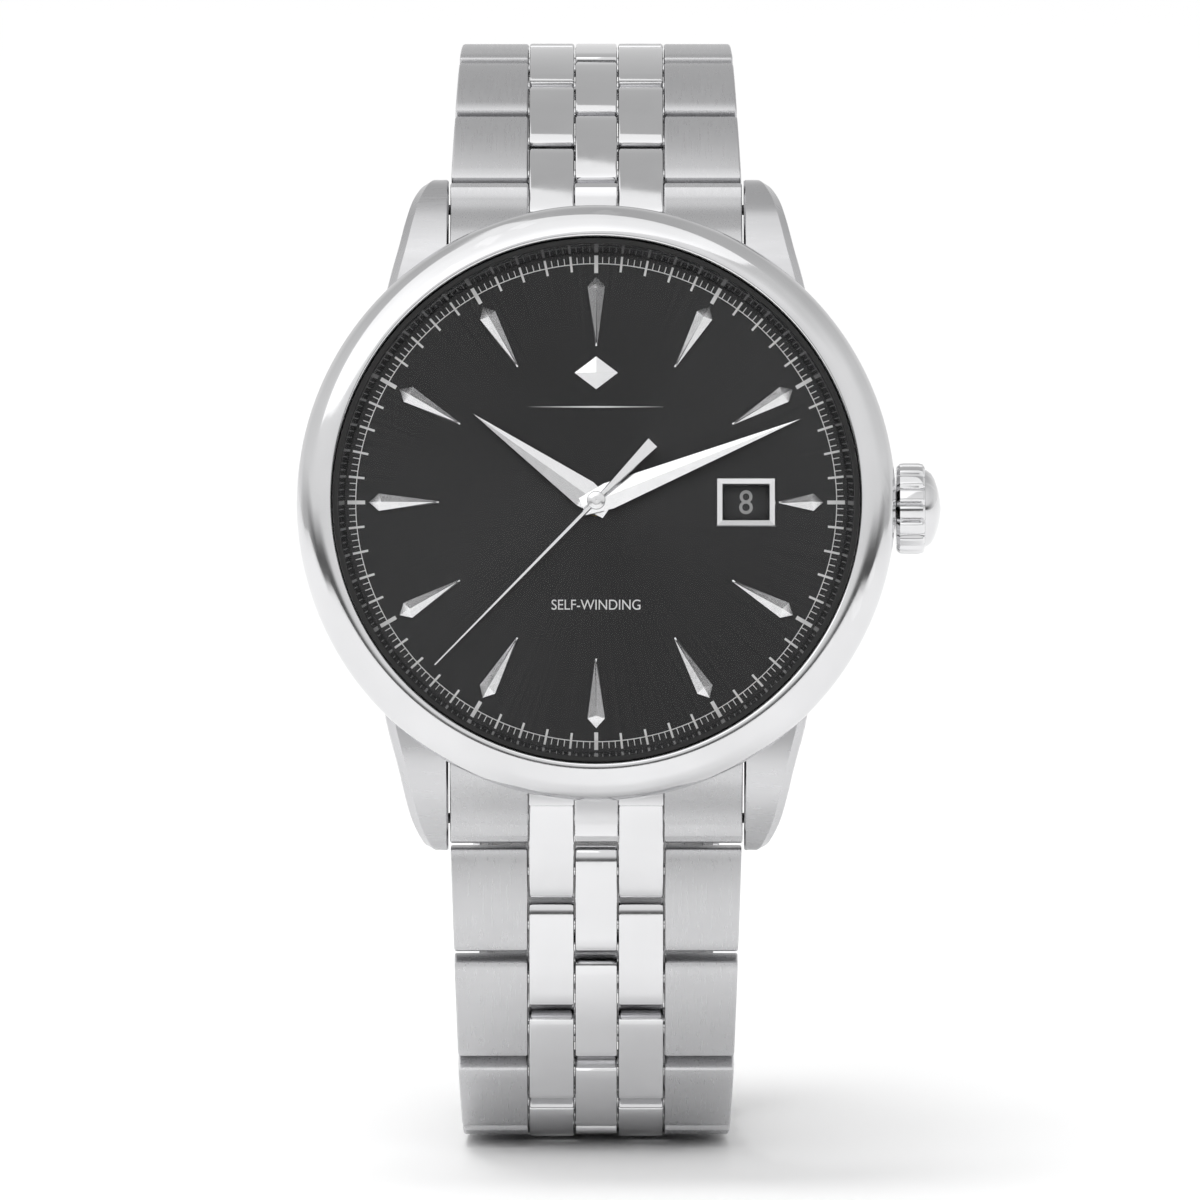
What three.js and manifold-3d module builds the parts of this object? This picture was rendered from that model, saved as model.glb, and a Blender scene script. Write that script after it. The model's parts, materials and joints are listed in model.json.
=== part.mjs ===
// A wristwatch that stands on its closed five-row steel bracelet.
// Millimetres, +Z up, the dial towards -Y and the crown at +X.
// The origin is on the outer face of the link that the loop stands on.
// Inside the case, x is to the right, y is up the dial and z is out of the dial. The hub is at the origin.
import * as THREE from "three";
import { mergeVertices } from "three/addons/utils/BufferGeometryUtils.js";
import Module from "manifold-3d";

const wasm = await Module();
wasm.setup();

// ---- driving dimensions ----
const CASE_RADIUS = 20;
const BEZEL_OPENING = 17.6;
const LUG_GAP = 19.8;
const DIAL_LEAN = 12; // degrees that the dial leans back from vertical
const ROUND = 40; // sides of a large round part
const GAP = 0.3; // clearance between neighbouring pieces

// Heights in the case, along z.
const CASE_TOP = 1.2;
const CASE_BOTTOM = -3.6;
const DIAL_BACK = 1.9;
const DIAL_FACE = 2.3;
const CRYSTAL_BOTTOM = 3.95;
const CRYSTAL_TOP = 4.75;

// The bracelet. Its direction of each link is in degrees, turning from straight down (lower half) or
// straight up (upper half) towards the back of the loop.
const PITCH = 7.4;
const LINK_THICKNESS = 2.9;
const CENTRE_HALF = 1.45;
const INNER_EDGE = 4.55;
const WIDTH_AT_LUGS = 19.5;
const WIDTH_AT_CLASP = 16;
const TAPER_LINKS = 14; // half pitches over which the width falls
const LOWER_DIRECTIONS = [13, 4, 7, 18, 33, 50, 68, 85, 89, 90, 98, 114, 134];
const UPPER_DIRECTIONS = [57, 58, 62, 67, 76, 88, 101, 114, 127, 139, 149, 158, 166, 171, 175];
const STANDING_LINK = 9; // the lower link, counted from 0, whose outer face lies on the ground
const LUG_PIN = { y: 20.5, z: -4.5 };

// Crown and stem.
const STEM_HEIGHT = -1.4;
const CROWN_RADIUS = 3.03;
const CROWN_START = 20;
const CROWN_END = 23.06;
const CROWN_FLUTES = 8;

// Hands: length from the hub, and the clock reading in degrees from twelve.
const HOUR_HAND = { length: 10.1, tail: 1.0, halfWidth: 0.95, angle: 305.7, bottom: 2.75, top: 2.95 };
const MINUTE_HAND = { length: 14.7, tail: 1.0, halfWidth: 0.9, angle: 68, bottom: 3.15, top: 3.35 };
const SECOND_HAND = { length: 15.4, tail: 5.4, halfWidth: 0.17, angle: 224.3, bottom: 3.55, top: 3.7 };

// Date window.
const DATE_CENTRE = 10;
const DATE_FRAME = { width: 4.0, height: 3.3, bar: 0.5 };
const DATE_DISC = { inner: 8.4, outer: 12.3, bottom: 1.35, top: 1.6 };

// Movement: where each arbor stands on the plate, and how large its wheel is.
const PLATE_RADIUS = 12.8;
const CENTRE_WHEEL_RADIUS = 4.5;
const HOUR_WHEEL_RADIUS = 2.5;
const FOURTH_WHEEL_RADIUS = 3.2;
const BARREL = { x: -7.6, y: 3.2, radius: 4.2 };
const THIRD_WHEEL = { x: 4.1, y: 4.3, radius: 2.74 };
const ESCAPE_WHEEL = { x: 1.98, y: -3.03, radius: 2.0, teeth: 15, pinion: 0.36 };
const PALLET_FORK = { x: -0.5, y: -6.3 };
const BALANCE = { x: -5.2, y: -6.8, radius: 4.0 };
const ROTOR_RADIUS = 12.1;
const BRIDGE_RADIUS = 12.4;
const BACK_CRYSTAL_RADIUS = 11.9;

// Turned rings of the case.
const RING_BORE = 16.2; // of the mid-case
const CRYSTAL_RADIUS = 17.2;
const TUBE = { outer: 1.15, inner: 0.75 };
const STEM_RADIUS = 0.5;
const NOTCH_RADIUS = 2.35; // room in the end link for the first inner link to turn

// ---- materials ----
function metal(color, roughness) {
  return new THREE.MeshStandardMaterial({ color, roughness, metalness: 1 });
}
const brushedSteel = metal(0xb9babc, 0.35);
const polishedSteel = metal(0xe4e5e8, 0.08);
const brass = metal(0xc9a95b, 0.3);
const nickel = metal(0xc4c4c0, 0.25);
const blackDial = metal(0x2c2c2e, 0.4);
const darkDisc = new THREE.MeshStandardMaterial({ color: 0x26262a, roughness: 0.5 });
const sapphire = new THREE.MeshStandardMaterial({
  color: 0xf4f8ff,
  roughness: 0.02,
  transparent: true,
  opacity: 0.2,
});

// ---- solids ----
function toSolid(geometry) {
  const bare = geometry.clone();
  bare.deleteAttribute("normal");
  bare.deleteAttribute("uv");
  const merged = mergeVertices(bare, 1e-4);
  return new wasm.Manifold(
    new wasm.Mesh({
      numProp: 3,
      vertProperties: merged.attributes.position.array,
      triVerts: new Uint32Array(merged.index.array),
    }),
  );
}

function toGeometry(solid) {
  const mesh = solid.getMesh();
  const geometry = new THREE.BufferGeometry();
  geometry.setAttribute("position", new THREE.BufferAttribute(mesh.vertProperties, 3));
  geometry.setIndex(new THREE.BufferAttribute(mesh.triVerts, 1));
  geometry.computeVertexNormals();
  return geometry;
}

function join(...geometries) {
  return toGeometry(geometries.map(toSolid).reduce((all, next) => all.add(next)));
}

function cut(geometry, ...tools) {
  return toGeometry(tools.map(toSolid).reduce((left, tool) => left.subtract(tool), toSolid(geometry)));
}

function common(first, second) {
  return toGeometry(toSolid(first).intersect(toSolid(second)));
}

function shapeOf(points) {
  return new THREE.Shape(points.map(([a, b]) => new THREE.Vector2(a, b)));
}

function circlePoints(radius, sides, centreX = 0, centreY = 0) {
  return Array.from({ length: sides }, (_, i) => {
    const turn = (2 * Math.PI * i) / sides;
    return [centreX + radius * Math.cos(turn), centreY + radius * Math.sin(turn)];
  });
}

// A flat plate: an outline in x and y, with optional holes, between two heights.
function plate(outline, bottom, top, holes = []) {
  const shape = shapeOf(outline);
  holes.forEach((hole) => shape.holes.push(new THREE.Path(hole.map(([a, b]) => new THREE.Vector2(a, b)))));
  const geometry = new THREE.ExtrudeGeometry(shape, { depth: top - bottom, bevelEnabled: false });
  return geometry.translate(0, 0, bottom);
}

// An outline in y and z, pushed across from x = left to x = right.
const ACROSS = new THREE.Matrix4().makeBasis(
  new THREE.Vector3(0, 1, 0),
  new THREE.Vector3(0, 0, 1),
  new THREE.Vector3(1, 0, 0),
);
function across(outline, left, right) {
  const geometry = new THREE.ExtrudeGeometry(shapeOf(outline), { depth: right - left, bevelEnabled: false });
  return geometry.translate(0, 0, left).applyMatrix4(ACROSS);
}

function pinAcross(y, z, radius, left, right, sides = 6) {
  return across(circlePoints(radius, sides, y, z), left, right);
}

// A turned part about z, from a closed outline of [radius, height] points.
function turned(outline, sides = ROUND) {
  const points = [...outline, outline[0]].map(([r, z]) => new THREE.Vector2(r, z));
  if (THREE.ShapeUtils.area(points) < 0) points.reverse();
  return new THREE.LatheGeometry(points, sides).rotateX(Math.PI / 2);
}

function cylinder(radius, bottom, top, sides, x = 0, y = 0) {
  return plate(circlePoints(radius, sides, x, y), bottom, top);
}

function box(left, right, near, far, bottom, top) {
  const size = new THREE.BoxGeometry(right - left, far - near, top - bottom);
  return size.translate((left + right) / 2, (near + far) / 2, (bottom + top) / 2);
}

function named(name, geometry, material) {
  const mesh = new THREE.Mesh(geometry, material);
  mesh.name = name;
  return mesh;
}

function radians(degrees) {
  return (degrees * Math.PI) / 180;
}

// ---- bracelet links ----
const HALF_PITCH = PITCH / 2;
const PIN_OFFSET = HALF_PITCH / 2; // from a link's middle to each of its pins
const END_REACH = PIN_OFFSET - 0.17; // from a pin to the end of its link
const HALF_THICKNESS = LINK_THICKNESS / 2;
const BEVEL = 0.3;
const PIN_RADIUS = 0.46;
const BORE_RADIUS = 0.75;
const SIDE_GAP = 0.08; // from a column edge to the plate beside it

// The lower end of a plate is rounded about its pin, so that the next plate in its column clears it.
function roundedUnderside(pinY, forwards) {
  const lowest = Math.asin(HALF_THICKNESS / END_REACH);
  const steps = 2;
  return Array.from({ length: steps + 1 }, (_, i) => {
    const turn = (lowest * i) / steps;
    return [pinY + forwards * END_REACH * Math.cos(turn), -END_REACH * Math.sin(turn)];
  });
}

function linkOutline() {
  const end = PIN_OFFSET + END_REACH;
  return [
    [-end + BEVEL, HALF_THICKNESS],
    [-end, HALF_THICKNESS - BEVEL],
    ...roundedUnderside(-PIN_OFFSET, -1),
    ...roundedUnderside(PIN_OFFSET, 1).reverse(),
    [end, HALF_THICKNESS - BEVEL],
    [end - BEVEL, HALF_THICKNESS],
  ];
}

function halfWidthAt(halfPitches) {
  const share = Math.min(1, Math.max(0, halfPitches / TAPER_LINKS));
  return (WIDTH_AT_LUGS + (WIDTH_AT_CLASP - WIDTH_AT_LUGS) * share) / 2;
}

// The two outer plates, whose outer sides follow the bracelet's taper, and the plate in the centre column.
function outerRowPlates(outline, fromLug) {
  const slope = halfWidthAt(fromLug + 0.5) - halfWidthAt(fromLug - 0.5);
  const side = across(outline, INNER_EDGE + SIDE_GAP, halfWidthAt(fromLug));
  const position = side.attributes.position;
  for (let i = 0; i < position.count; i++) {
    if (position.getX(i) > INNER_EDGE + 1) {
      position.setX(i, halfWidthAt(fromLug) + (slope * position.getY(i)) / HALF_PITCH);
    }
  }
  const otherSide = toGeometry(toSolid(side).mirror([1, 0, 0]));
  return [side, otherSide, across(outline, -CENTRE_HALF + SIDE_GAP, CENTRE_HALF - SIDE_GAP)];
}

// Three plates held together by the two pins that pass through the inner links.
function outerLink(fromLug) {
  const reach = INNER_EDGE + 1;
  return join(
    ...outerRowPlates(linkOutline(), fromLug),
    pinAcross(-PIN_OFFSET, 0, PIN_RADIUS, -reach, reach),
    pinAcross(PIN_OFFSET, 0, PIN_RADIUS, -reach, reach),
  );
}

// Two plates with bores, held together by a low bar under the centre column.
function innerLink() {
  const inner = CENTRE_HALF + SIDE_GAP;
  const outer = INNER_EDGE - SIDE_GAP;
  const plates = [
    across(linkOutline(), inner, outer),
    across(linkOutline(), -outer, -inner),
  ];
  const bores = [-PIN_OFFSET, PIN_OFFSET].map((y) => pinAcross(y, 0, BORE_RADIUS, -outer - 1, outer + 1));
  const bar = box(-inner - GAP, inner + GAP, -0.25, 0.25, -HALF_THICKNESS, -HALF_THICKNESS + 0.45);
  return join(cut(join(...plates, bar), ...bores));
}

// The last inner link of the lower half carries the bar that the clasp cover shuts against.
function lastLowerLink() {
  const reach = INNER_EDGE + 2.6;
  const plug = INNER_EDGE - SIDE_GAP;
  return join(
    innerLink(),
    pinAcross(PIN_OFFSET, 0, BORE_RADIUS + 0.03, -plug, plug),
    pinAcross(PIN_OFFSET, 0, PIN_RADIUS, -reach, reach),
  );
}

// ---- bracelet halves: each link is nested in the one before it, at its own hinge pin ----
function chain(half, directions, startDirection, lastGeometry) {
  const root = new THREE.Group();
  let parent = root;
  let last = startDirection;
  directions.forEach((direction, i) => {
    const link = new THREE.Group();
    link.rotation.x = -radians(direction - last);
    if (i > 0) link.position.y = HALF_PITCH;
    const inner = i % 2 === 0;
    const count = Math.floor(i / 2) + 1;
    const isLast = i === directions.length - 1;
    const geometry = inner ? (isLast && lastGeometry ? lastGeometry() : innerLink()) : outerLink(i);
    const name = half + (inner ? "_inner_link_" : "_outer_link_") + count;
    const mesh = named(name, geometry, inner ? polishedSteel : brushedSteel);
    mesh.position.y = PIN_OFFSET;
    link.add(mesh);
    parent.add(link);
    parent = link;
    last = direction;
  });
  return { root, end: parent };
}

// ---- folding clasp, made flat along y and then bent to the wrist ----
const CLASP_BEND_RADIUS = 80;
const BLADE_HALF_WIDTH = 6.2;
const COVER_HALF_WIDTH = 8;
const COVER_WALL = 0.6;
const COVER_PLATE = [1.15, 1.85];
const INNER_BLADE = [-0.4, 0.3];
const OUTER_BLADE = [-1.45, -0.85];
const COVER_START = 2.5;
const COVER_EARS = 1.1;
const COVER_CLEARS_END = 3.6;
const BLADE_HINGE = { y: 4.4, z: -0.75 };
const COVER_HINGE_FROM_END = 6;
const KNUCKLE_RADIUS = 0.75;
const KNUCKLE_BORE = 0.52;
const KNUCKLE_PIN = 0.32;
const BUTTON_PLACE = 12;
const STATION = 4; // spacing of the outline points that let a flat plate bend

function stations(from, to) {
  const steps = Math.max(1, Math.round((to - from) / STATION));
  return Array.from({ length: steps + 1 }, (_, i) => from + ((to - from) * i) / steps);
}

function band(from, to, bottom, top, left, right) {
  const along = stations(from, to);
  const outline = [...along.map((y) => [y, bottom]), ...along.reverse().map((y) => [y, top])];
  return across(outline, left, right);
}

// Wraps the flat clasp, whose arc runs from y = 0 to y = length, onto a circle through its two ends.
function bent(geometry, length) {
  const position = geometry.attributes.position;
  const half = length / 2 / CLASP_BEND_RADIUS;
  for (let i = 0; i < position.count; i++) {
    const turn = position.getY(i) / CLASP_BEND_RADIUS - half;
    const radius = CLASP_BEND_RADIUS + position.getZ(i);
    position.setY(i, radius * Math.sin(turn) + CLASP_BEND_RADIUS * Math.sin(half));
    position.setZ(i, radius * Math.cos(turn) - CLASP_BEND_RADIUS * Math.cos(half));
  }
  geometry.computeVertexNormals();
  return geometry;
}

function claspCover(length) {
  const curved = (geometry) => bent(geometry, length);
  const end = length - COVER_CLEARS_END;
  const hinge = length - COVER_HINGE_FROM_END;
  const wall = COVER_HALF_WIDTH - COVER_WALL;
  const plateHalf = COVER_HALF_WIDTH - 0.1;
  const earHalf = COVER_HALF_WIDTH - 0.2;
  const plateTop = band(COVER_START, end, ...COVER_PLATE, -plateHalf, plateHalf);
  const walls = [
    band(COVER_START, end, -1.2, COVER_PLATE[0] + 0.3, wall, COVER_HALF_WIDTH),
    band(COVER_START, end, -1.2, COVER_PLATE[0] + 0.3, -COVER_HALF_WIDTH, -wall),
  ];
  const ears = [
    [INNER_EDGE + SIDE_GAP, earHalf],
    [-earHalf, -INNER_EDGE - SIDE_GAP],
    [-CENTRE_HALF + SIDE_GAP, CENTRE_HALF - SIDE_GAP],
  ].map(([left, right]) => box(left, right, COVER_EARS, COVER_START + GAP, 0.2, COVER_PLATE[1] - 0.1));
  const pin = pinAcross(hinge, 0, KNUCKLE_PIN, -wall - GAP, wall + GAP);
  const buttonHole = pinAcross(BUTTON_PLACE, 0, 1.25, -COVER_HALF_WIDTH - 1, COVER_HALF_WIDTH + 1, 12);
  const shell = join(...[plateTop, ...walls, ...ears].map(curved));
  return join(cut(shell, curved(buttonHole)), curved(pin));
}

function innerBlade(length) {
  const curved = (geometry) => bent(geometry, length);
  const hinge = length - COVER_HINGE_FROM_END;
  const reach = BLADE_HALF_WIDTH;
  const blade = band(BLADE_HINGE.y + 0.4, hinge - 0.4, ...INNER_BLADE, -reach, reach);
  const slot = box(-2.2, 2.2, BLADE_HINGE.y + 6, hinge - 6, -2, 2);
  const farKnuckle = pinAcross(hinge, 0, KNUCKLE_RADIUS, -reach, reach, 12);
  const nearKnuckle = pinAcross(BLADE_HINGE.y, BLADE_HINGE.z, KNUCKLE_RADIUS, -3, 3, 12);
  const neck = box(-3, 3, BLADE_HINGE.y - 0.1, BLADE_HINGE.y + 0.9, -0.7, 0.25);
  const roomBesideNeck = [
    box(3, reach + 1, 0, BLADE_HINGE.y + 1.1, -2, 2),
    box(-reach - 1, -3, 0, BLADE_HINGE.y + 1.1, -2, 2),
  ];
  const bores = [
    pinAcross(hinge, 0, KNUCKLE_BORE, -reach - 1, reach + 1),
    pinAcross(BLADE_HINGE.y, BLADE_HINGE.z, KNUCKLE_BORE, -reach - 1, reach + 1),
  ];
  const body = cut(join(curved(blade), curved(farKnuckle)), curved(slot), ...roomBesideNeck.map(curved));
  return cut(join(body, curved(nearKnuckle), curved(neck)), ...bores.map(curved));
}

function outerBlade(length) {
  const curved = (geometry) => bent(geometry, length);
  const reach = BLADE_HALF_WIDTH;
  const endHalf = halfWidthAt(TAPER_LINKS);
  const columnStart = length - 3.2;
  const outline = [
    [columnStart, -HALF_THICKNESS],
    ...roundedUnderside(length, 1).reverse(),
    [length + END_REACH, HALF_THICKNESS - BEVEL],
    [length + END_REACH - BEVEL, HALF_THICKNESS],
    [columnStart, HALF_THICKNESS],
  ];
  const columns = [
    across(outline, INNER_EDGE + SIDE_GAP, endHalf),
    across(outline, -endHalf, -INNER_EDGE - SIDE_GAP),
    across(outline, -CENTRE_HALF + SIDE_GAP, CENTRE_HALF - SIDE_GAP),
  ];
  const crossEnd = length - END_REACH - GAP;
  const crossPiece = box(-endHalf, endHalf, columnStart, crossEnd, -HALF_THICKNESS, HALF_THICKNESS);
  const linkPin = pinAcross(length, 0, PIN_RADIUS, -INNER_EDGE - 1, INNER_EDGE + 1);
  const blade = band(BLADE_HINGE.y + 1.2, columnStart + GAP, ...OUTER_BLADE, -reach, reach);
  const knuckles = [
    pinAcross(BLADE_HINGE.y, BLADE_HINGE.z, KNUCKLE_RADIUS, 3 + GAP, reach, 12),
    pinAcross(BLADE_HINGE.y, BLADE_HINGE.z, KNUCKLE_RADIUS, -reach, -3 - GAP, 12),
    box(3 + GAP, reach, BLADE_HINGE.y, BLADE_HINGE.y + 1.5, ...OUTER_BLADE),
    box(-reach, -3 - GAP, BLADE_HINGE.y, BLADE_HINGE.y + 1.5, ...OUTER_BLADE),
  ];
  const hingePin = pinAcross(BLADE_HINGE.y, BLADE_HINGE.z, KNUCKLE_PIN, -reach + 1, reach - 1);
  return join(...[...columns, crossPiece, linkPin, blade, ...knuckles, hingePin].map(curved));
}

function claspButton(side, length) {
  const inside = COVER_HALF_WIDTH - COVER_WALL - 0.15;
  const outside = COVER_HALF_WIDTH + 0.45;
  const button = bent(pinAcross(BUTTON_PLACE, 0, 1.0, inside, outside, 12), length);
  return side > 0 ? button : toGeometry(toSolid(button).mirror([1, 0, 0]));
}

// ---- end links and lugs ----
const WEB_START = 17.3; // the web under the case that holds the end link's columns together

function endLink() {
  const { y, z } = LUG_PIN;
  const top = z + HALF_THICKNESS;
  const bottom = z - HALF_THICKNESS;
  const end = y + END_REACH;
  const outline = [
    [15, 0.55],
    [WEB_START, bottom + 1.2],
    [WEB_START, bottom],
    ...roundedUnderside(y, 1).reverse().map(([a, b]) => [a, b + z]),
    [end, top - BEVEL],
    [end - BEVEL, top],
    [y - 1, top + 0.9],
    [y - 2.5, 0],
    [y - 4, 0.5],
  ];
  const half = LUG_GAP / 2 - 0.15;
  const clearCase = turned(
    [
      [0, CASE_BOTTOM - GAP],
      [17.9, CASE_BOTTOM - GAP],
      [19.0, -3.2],
      [19.8, -1.8],
      [CASE_RADIUS + 0.12, -0.8],
      [CASE_RADIUS + 0.12, 12],
      [0, 12],
    ],
    2 * ROUND,
  );
  const notch = (left, right) => [
    pinAcross(y, z, NOTCH_RADIUS, left, right, 16),
    box(left, right, y - 0.2, y + 5, z - 5, z + 5),
  ];
  const bore = pinAcross(y, z, BORE_RADIUS, -half - 1, half + 1);
  return cut(
    across(outline, -half, half),
    clearCase,
    ...notch(CENTRE_HALF, INNER_EDGE),
    ...notch(-INNER_EDGE, -CENTRE_HALF),
    bore,
  );
}

function springBar() {
  const { y, z } = LUG_PIN;
  const shoulder = LUG_GAP / 2 - 0.5;
  return join(
    pinAcross(y, z, PIN_RADIUS, -shoulder, shoulder),
    pinAcross(y, z, 0.35, -shoulder - 1.1, shoulder + 1.1),
  );
}

function lug() {
  const plan = plate(
    [
      [LUG_GAP / 2, 14.2],
      [13.4, 11.4],
      [14.2, 13.4],
      [13.05, 18],
      [12.45, 20.6],
      [11.9, 21.7],
      [11.0, 22.4],
      [10.4, 22.55],
      [LUG_GAP / 2, 22.3],
    ],
    -8,
    4,
  );
  const side = across(
    [
      [11, CASE_TOP - 0.1],
      [11, CASE_BOTTOM + 0.1],
      [15.5, -3.9],
      [18.5, -5.6],
      [20.5, -6.35],
      [22.1, -6.2],
      [22.7, -5.2],
      [22.3, -3.6],
      [21, -1.9],
      [19.4, -0.4],
      [17.5, 0.5],
      [15, 1.0],
    ],
    0,
    20,
  );
  return common(plan, side);
}

// ---- case ----
function midCase() {
  const ring = turned([
    [RING_BORE, CASE_BOTTOM],
    [17.5, CASE_BOTTOM],
    [18.6, -2.9],
    [19.4, -1.6],
    [19.7, -0.6],
    [19.7, 0.4],
    [19.4, CASE_TOP],
    [RING_BORE, CASE_TOP],
  ]);
  const right = toSolid(lug());
  const left = right.mirror([1, 0, 0]);
  const upper = right.add(left);
  const lugs = upper.add(upper.mirror([0, 1, 0]));
  const stemHole = pinAcross(0, STEM_HEIGHT, 1.45, 14, 22, 12);
  const barHoles = [-1, 1].map((end) =>
    pinAcross(end * LUG_PIN.y, LUG_PIN.z, 0.6, -LUG_GAP / 2 - 0.9, LUG_GAP / 2 + 0.9),
  );
  const body = toGeometry(toSolid(ring).add(lugs));
  return cut(body, stemHole, ...barHoles);
}

function bezel() {
  return turned([
    [BEZEL_OPENING, CASE_TOP + GAP],
    [19.6, CASE_TOP + GAP],
    [CASE_RADIUS, 1.9],
    [CASE_RADIUS, 2.4],
    [19.75, 3.1],
    [19.1, 3.85],
    [18.3, 4.3],
    [17.9, 4.35],
    [BEZEL_OPENING, 4.15],
  ]);
}

function crystal() {
  return turned([
    [0, CRYSTAL_BOTTOM],
    [CRYSTAL_RADIUS, CRYSTAL_BOTTOM],
    [CRYSTAL_RADIUS, CRYSTAL_TOP - 0.3],
    [CRYSTAL_RADIUS - 0.3, CRYSTAL_TOP],
    [0, CRYSTAL_TOP],
  ]);
}

function rehaut() {
  return turned([
    [16.8, DIAL_FACE + 0.15],
    [17.4, DIAL_FACE + 0.15],
    [17.4, 3.7],
    [17.25, 3.7],
  ]);
}

function caseBack() {
  return turned([
    [12.2, -4.05],
    [15.4, -4.05],
    [15.4, -3.2],
    [15.9, -3.2],
    [15.9, -4.0],
    [16.9, -4.0],
    [16.9, -4.5],
    [16.2, -5.3],
    [12.9, -5.3],
    [12.2, -5.1],
  ]);
}

function backCrystal() {
  return cylinder(BACK_CRYSTAL_RADIUS, -4.95, -4.15, ROUND);
}

function crownTube() {
  const ring = plate(circlePoints(TUBE.outer, 12), 16.7, 20.6, [circlePoints(TUBE.inner, 12).reverse()]);
  return ring.rotateY(Math.PI / 2).translate(0, 0, STEM_HEIGHT);
}

function windingStem() {
  return pinAcross(0, STEM_HEIGHT, STEM_RADIUS, 9.5, 21.8, 10);
}

function crown() {
  const points = CROWN_FLUTES * 4;
  const fluted = Array.from({ length: points }, (_, i) => {
    const radius = CROWN_RADIUS - (i % 4 === 0 ? 0.28 : 0);
    const turn = (2 * Math.PI * i) / points;
    return [radius * Math.cos(turn), radius * Math.sin(turn)];
  });
  const barrel = plate(fluted, CROWN_START, 21.9);
  const cap = turned([[0, 21.5], [2.6, 21.5], [2.45, 22.2], [1.9, 22.75], [0, CROWN_END]], 24);
  const tubeRoom = cylinder(1.5, CROWN_START - 1, 21, 12);
  const stemRoom = cylinder(0.75, CROWN_START - 1, 22.1, 12);
  const shape = cut(join(barrel, cap), tubeRoom, stemRoom);
  return shape.rotateY(Math.PI / 2).translate(0, 0, STEM_HEIGHT);
}

// ---- dial, date and hands ----
function dateAperture(grow) {
  const halfX = DATE_FRAME.width / 2 - DATE_FRAME.bar + grow;
  const halfY = DATE_FRAME.height / 2 - DATE_FRAME.bar + grow;
  return [
    [DATE_CENTRE - halfX, -halfY],
    [DATE_CENTRE + halfX, -halfY],
    [DATE_CENTRE + halfX, halfY],
    [DATE_CENTRE - halfX, halfY],
  ];
}

function dial() {
  const holes = [circlePoints(1.05, 16).reverse(), dateAperture(0).reverse()];
  return plate(circlePoints(CRYSTAL_RADIUS, ROUND), DIAL_BACK, DIAL_FACE, holes);
}

function dateFrame() {
  return plate(dateAperture(DATE_FRAME.bar), DIAL_FACE + 0.02, DIAL_FACE + 0.27, [dateAperture(0).reverse()]);
}

function dateDisc() {
  const { inner, outer, bottom, top } = DATE_DISC;
  return plate(circlePoints(outer, ROUND), bottom, top, [circlePoints(inner, ROUND).reverse()]);
}

function dauphineOutline({ length, tail, halfWidth }) {
  const tailHalf = halfWidth * 0.72;
  return [[0, length], [-halfWidth, 0.6], [-tailHalf, -tail], [tailHalf, -tail], [halfWidth, 0.6]];
}

// The hour hand on its pipe, with the hour wheel under the dial.
function hourHand() {
  const blade = plate(dauphineOutline(HOUR_HAND), HOUR_HAND.bottom, HOUR_HAND.top);
  const pipe = cylinder(0.85, 1.2, HOUR_HAND.top, 12);
  const wheel = cylinder(HOUR_WHEEL_RADIUS, 1.25, 1.45, 24);
  return cut(join(blade, pipe, wheel), cylinder(0.65, 0, 5, 12));
}

// The minute hand on the cannon pinion, with the centre wheel behind the main plate.
function minuteHand() {
  const blade = plate(dauphineOutline(MINUTE_HAND), MINUTE_HAND.bottom, MINUTE_HAND.top);
  const pipe = cylinder(0.5, -0.3, MINUTE_HAND.top, 12);
  const wheel = cylinder(CENTRE_WHEEL_RADIUS, -0.3, -0.1, 36);
  return cut(join(blade, pipe, wheel), cylinder(0.34, -2, 5, 12));
}

// The sweep hand on its arbor, with the fourth wheel.
function secondHand() {
  const { length, tail, halfWidth, bottom, top } = SECOND_HAND;
  const tip = halfWidth * 0.4;
  const needle = plate([[-halfWidth, -1], [halfWidth, -1], [tip, length], [-tip, length]], bottom, top);
  const tailHalf = 0.45;
  const counterweight = plate(
    [[halfWidth, -0.8], [-halfWidth, -0.8], [-tailHalf, -tail], [tailHalf, -tail]],
    bottom,
    top,
  );
  const hub = cylinder(0.6, bottom, top + 0.12, 16);
  const arbor = cylinder(0.18, -1.1, top, 8);
  const wheel = cylinder(FOURTH_WHEEL_RADIUS, -0.85, -0.65, 30);
  return join(needle, counterweight, hub, arbor, wheel);
}

// ---- movement ----
function mainPlate() {
  return plate(circlePoints(PLATE_RADIUS, ROUND), 0.1, 1.05, [circlePoints(1.1, 12).reverse()]);
}

function barrel() {
  const { x, y, radius } = BARREL;
  const drum = cylinder(radius - 0.35, -1.7, -0.9, 30, x, y);
  const teeth = cylinder(radius, -0.9, -0.65, 36, x, y);
  return join(drum, teeth, cylinder(0.7, -1.85, -0.4, 12, x, y));
}

function trainBridge() {
  const arc = Array.from({ length: 19 }, (_, i) => {
    const turn = radians(-10 + (200 * i) / 18);
    return [BRIDGE_RADIUS * Math.cos(turn), BRIDGE_RADIUS * Math.sin(turn)];
  });
  const bridge = plate(arc, -2.3, -2.0);
  return join(bridge, cylinder(0.6, -3.3, -2.1, 12));
}

function thirdWheel() {
  const { x, y, radius } = THIRD_WHEEL;
  return join(cylinder(radius - 0.15, -0.85, -0.65, 24, x, y), cylinder(0.3, -1.8, -0.2, 8, x, y));
}

function escapeWheel() {
  const { x, y, radius, teeth, pinion } = ESCAPE_WHEEL;
  const outline = [];
  for (let i = 0; i < teeth; i++) {
    const tip = (2 * Math.PI * i) / teeth;
    const root = tip + Math.PI / teeth;
    outline.push([x + radius * Math.cos(tip), y + radius * Math.sin(tip)]);
    outline.push([x + 1.45 * Math.cos(root), y + 1.45 * Math.sin(root)]);
  }
  return join(plate(outline, -1.3, -1.15), cylinder(pinion, -1.8, -0.4, 8, x, y));
}

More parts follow.
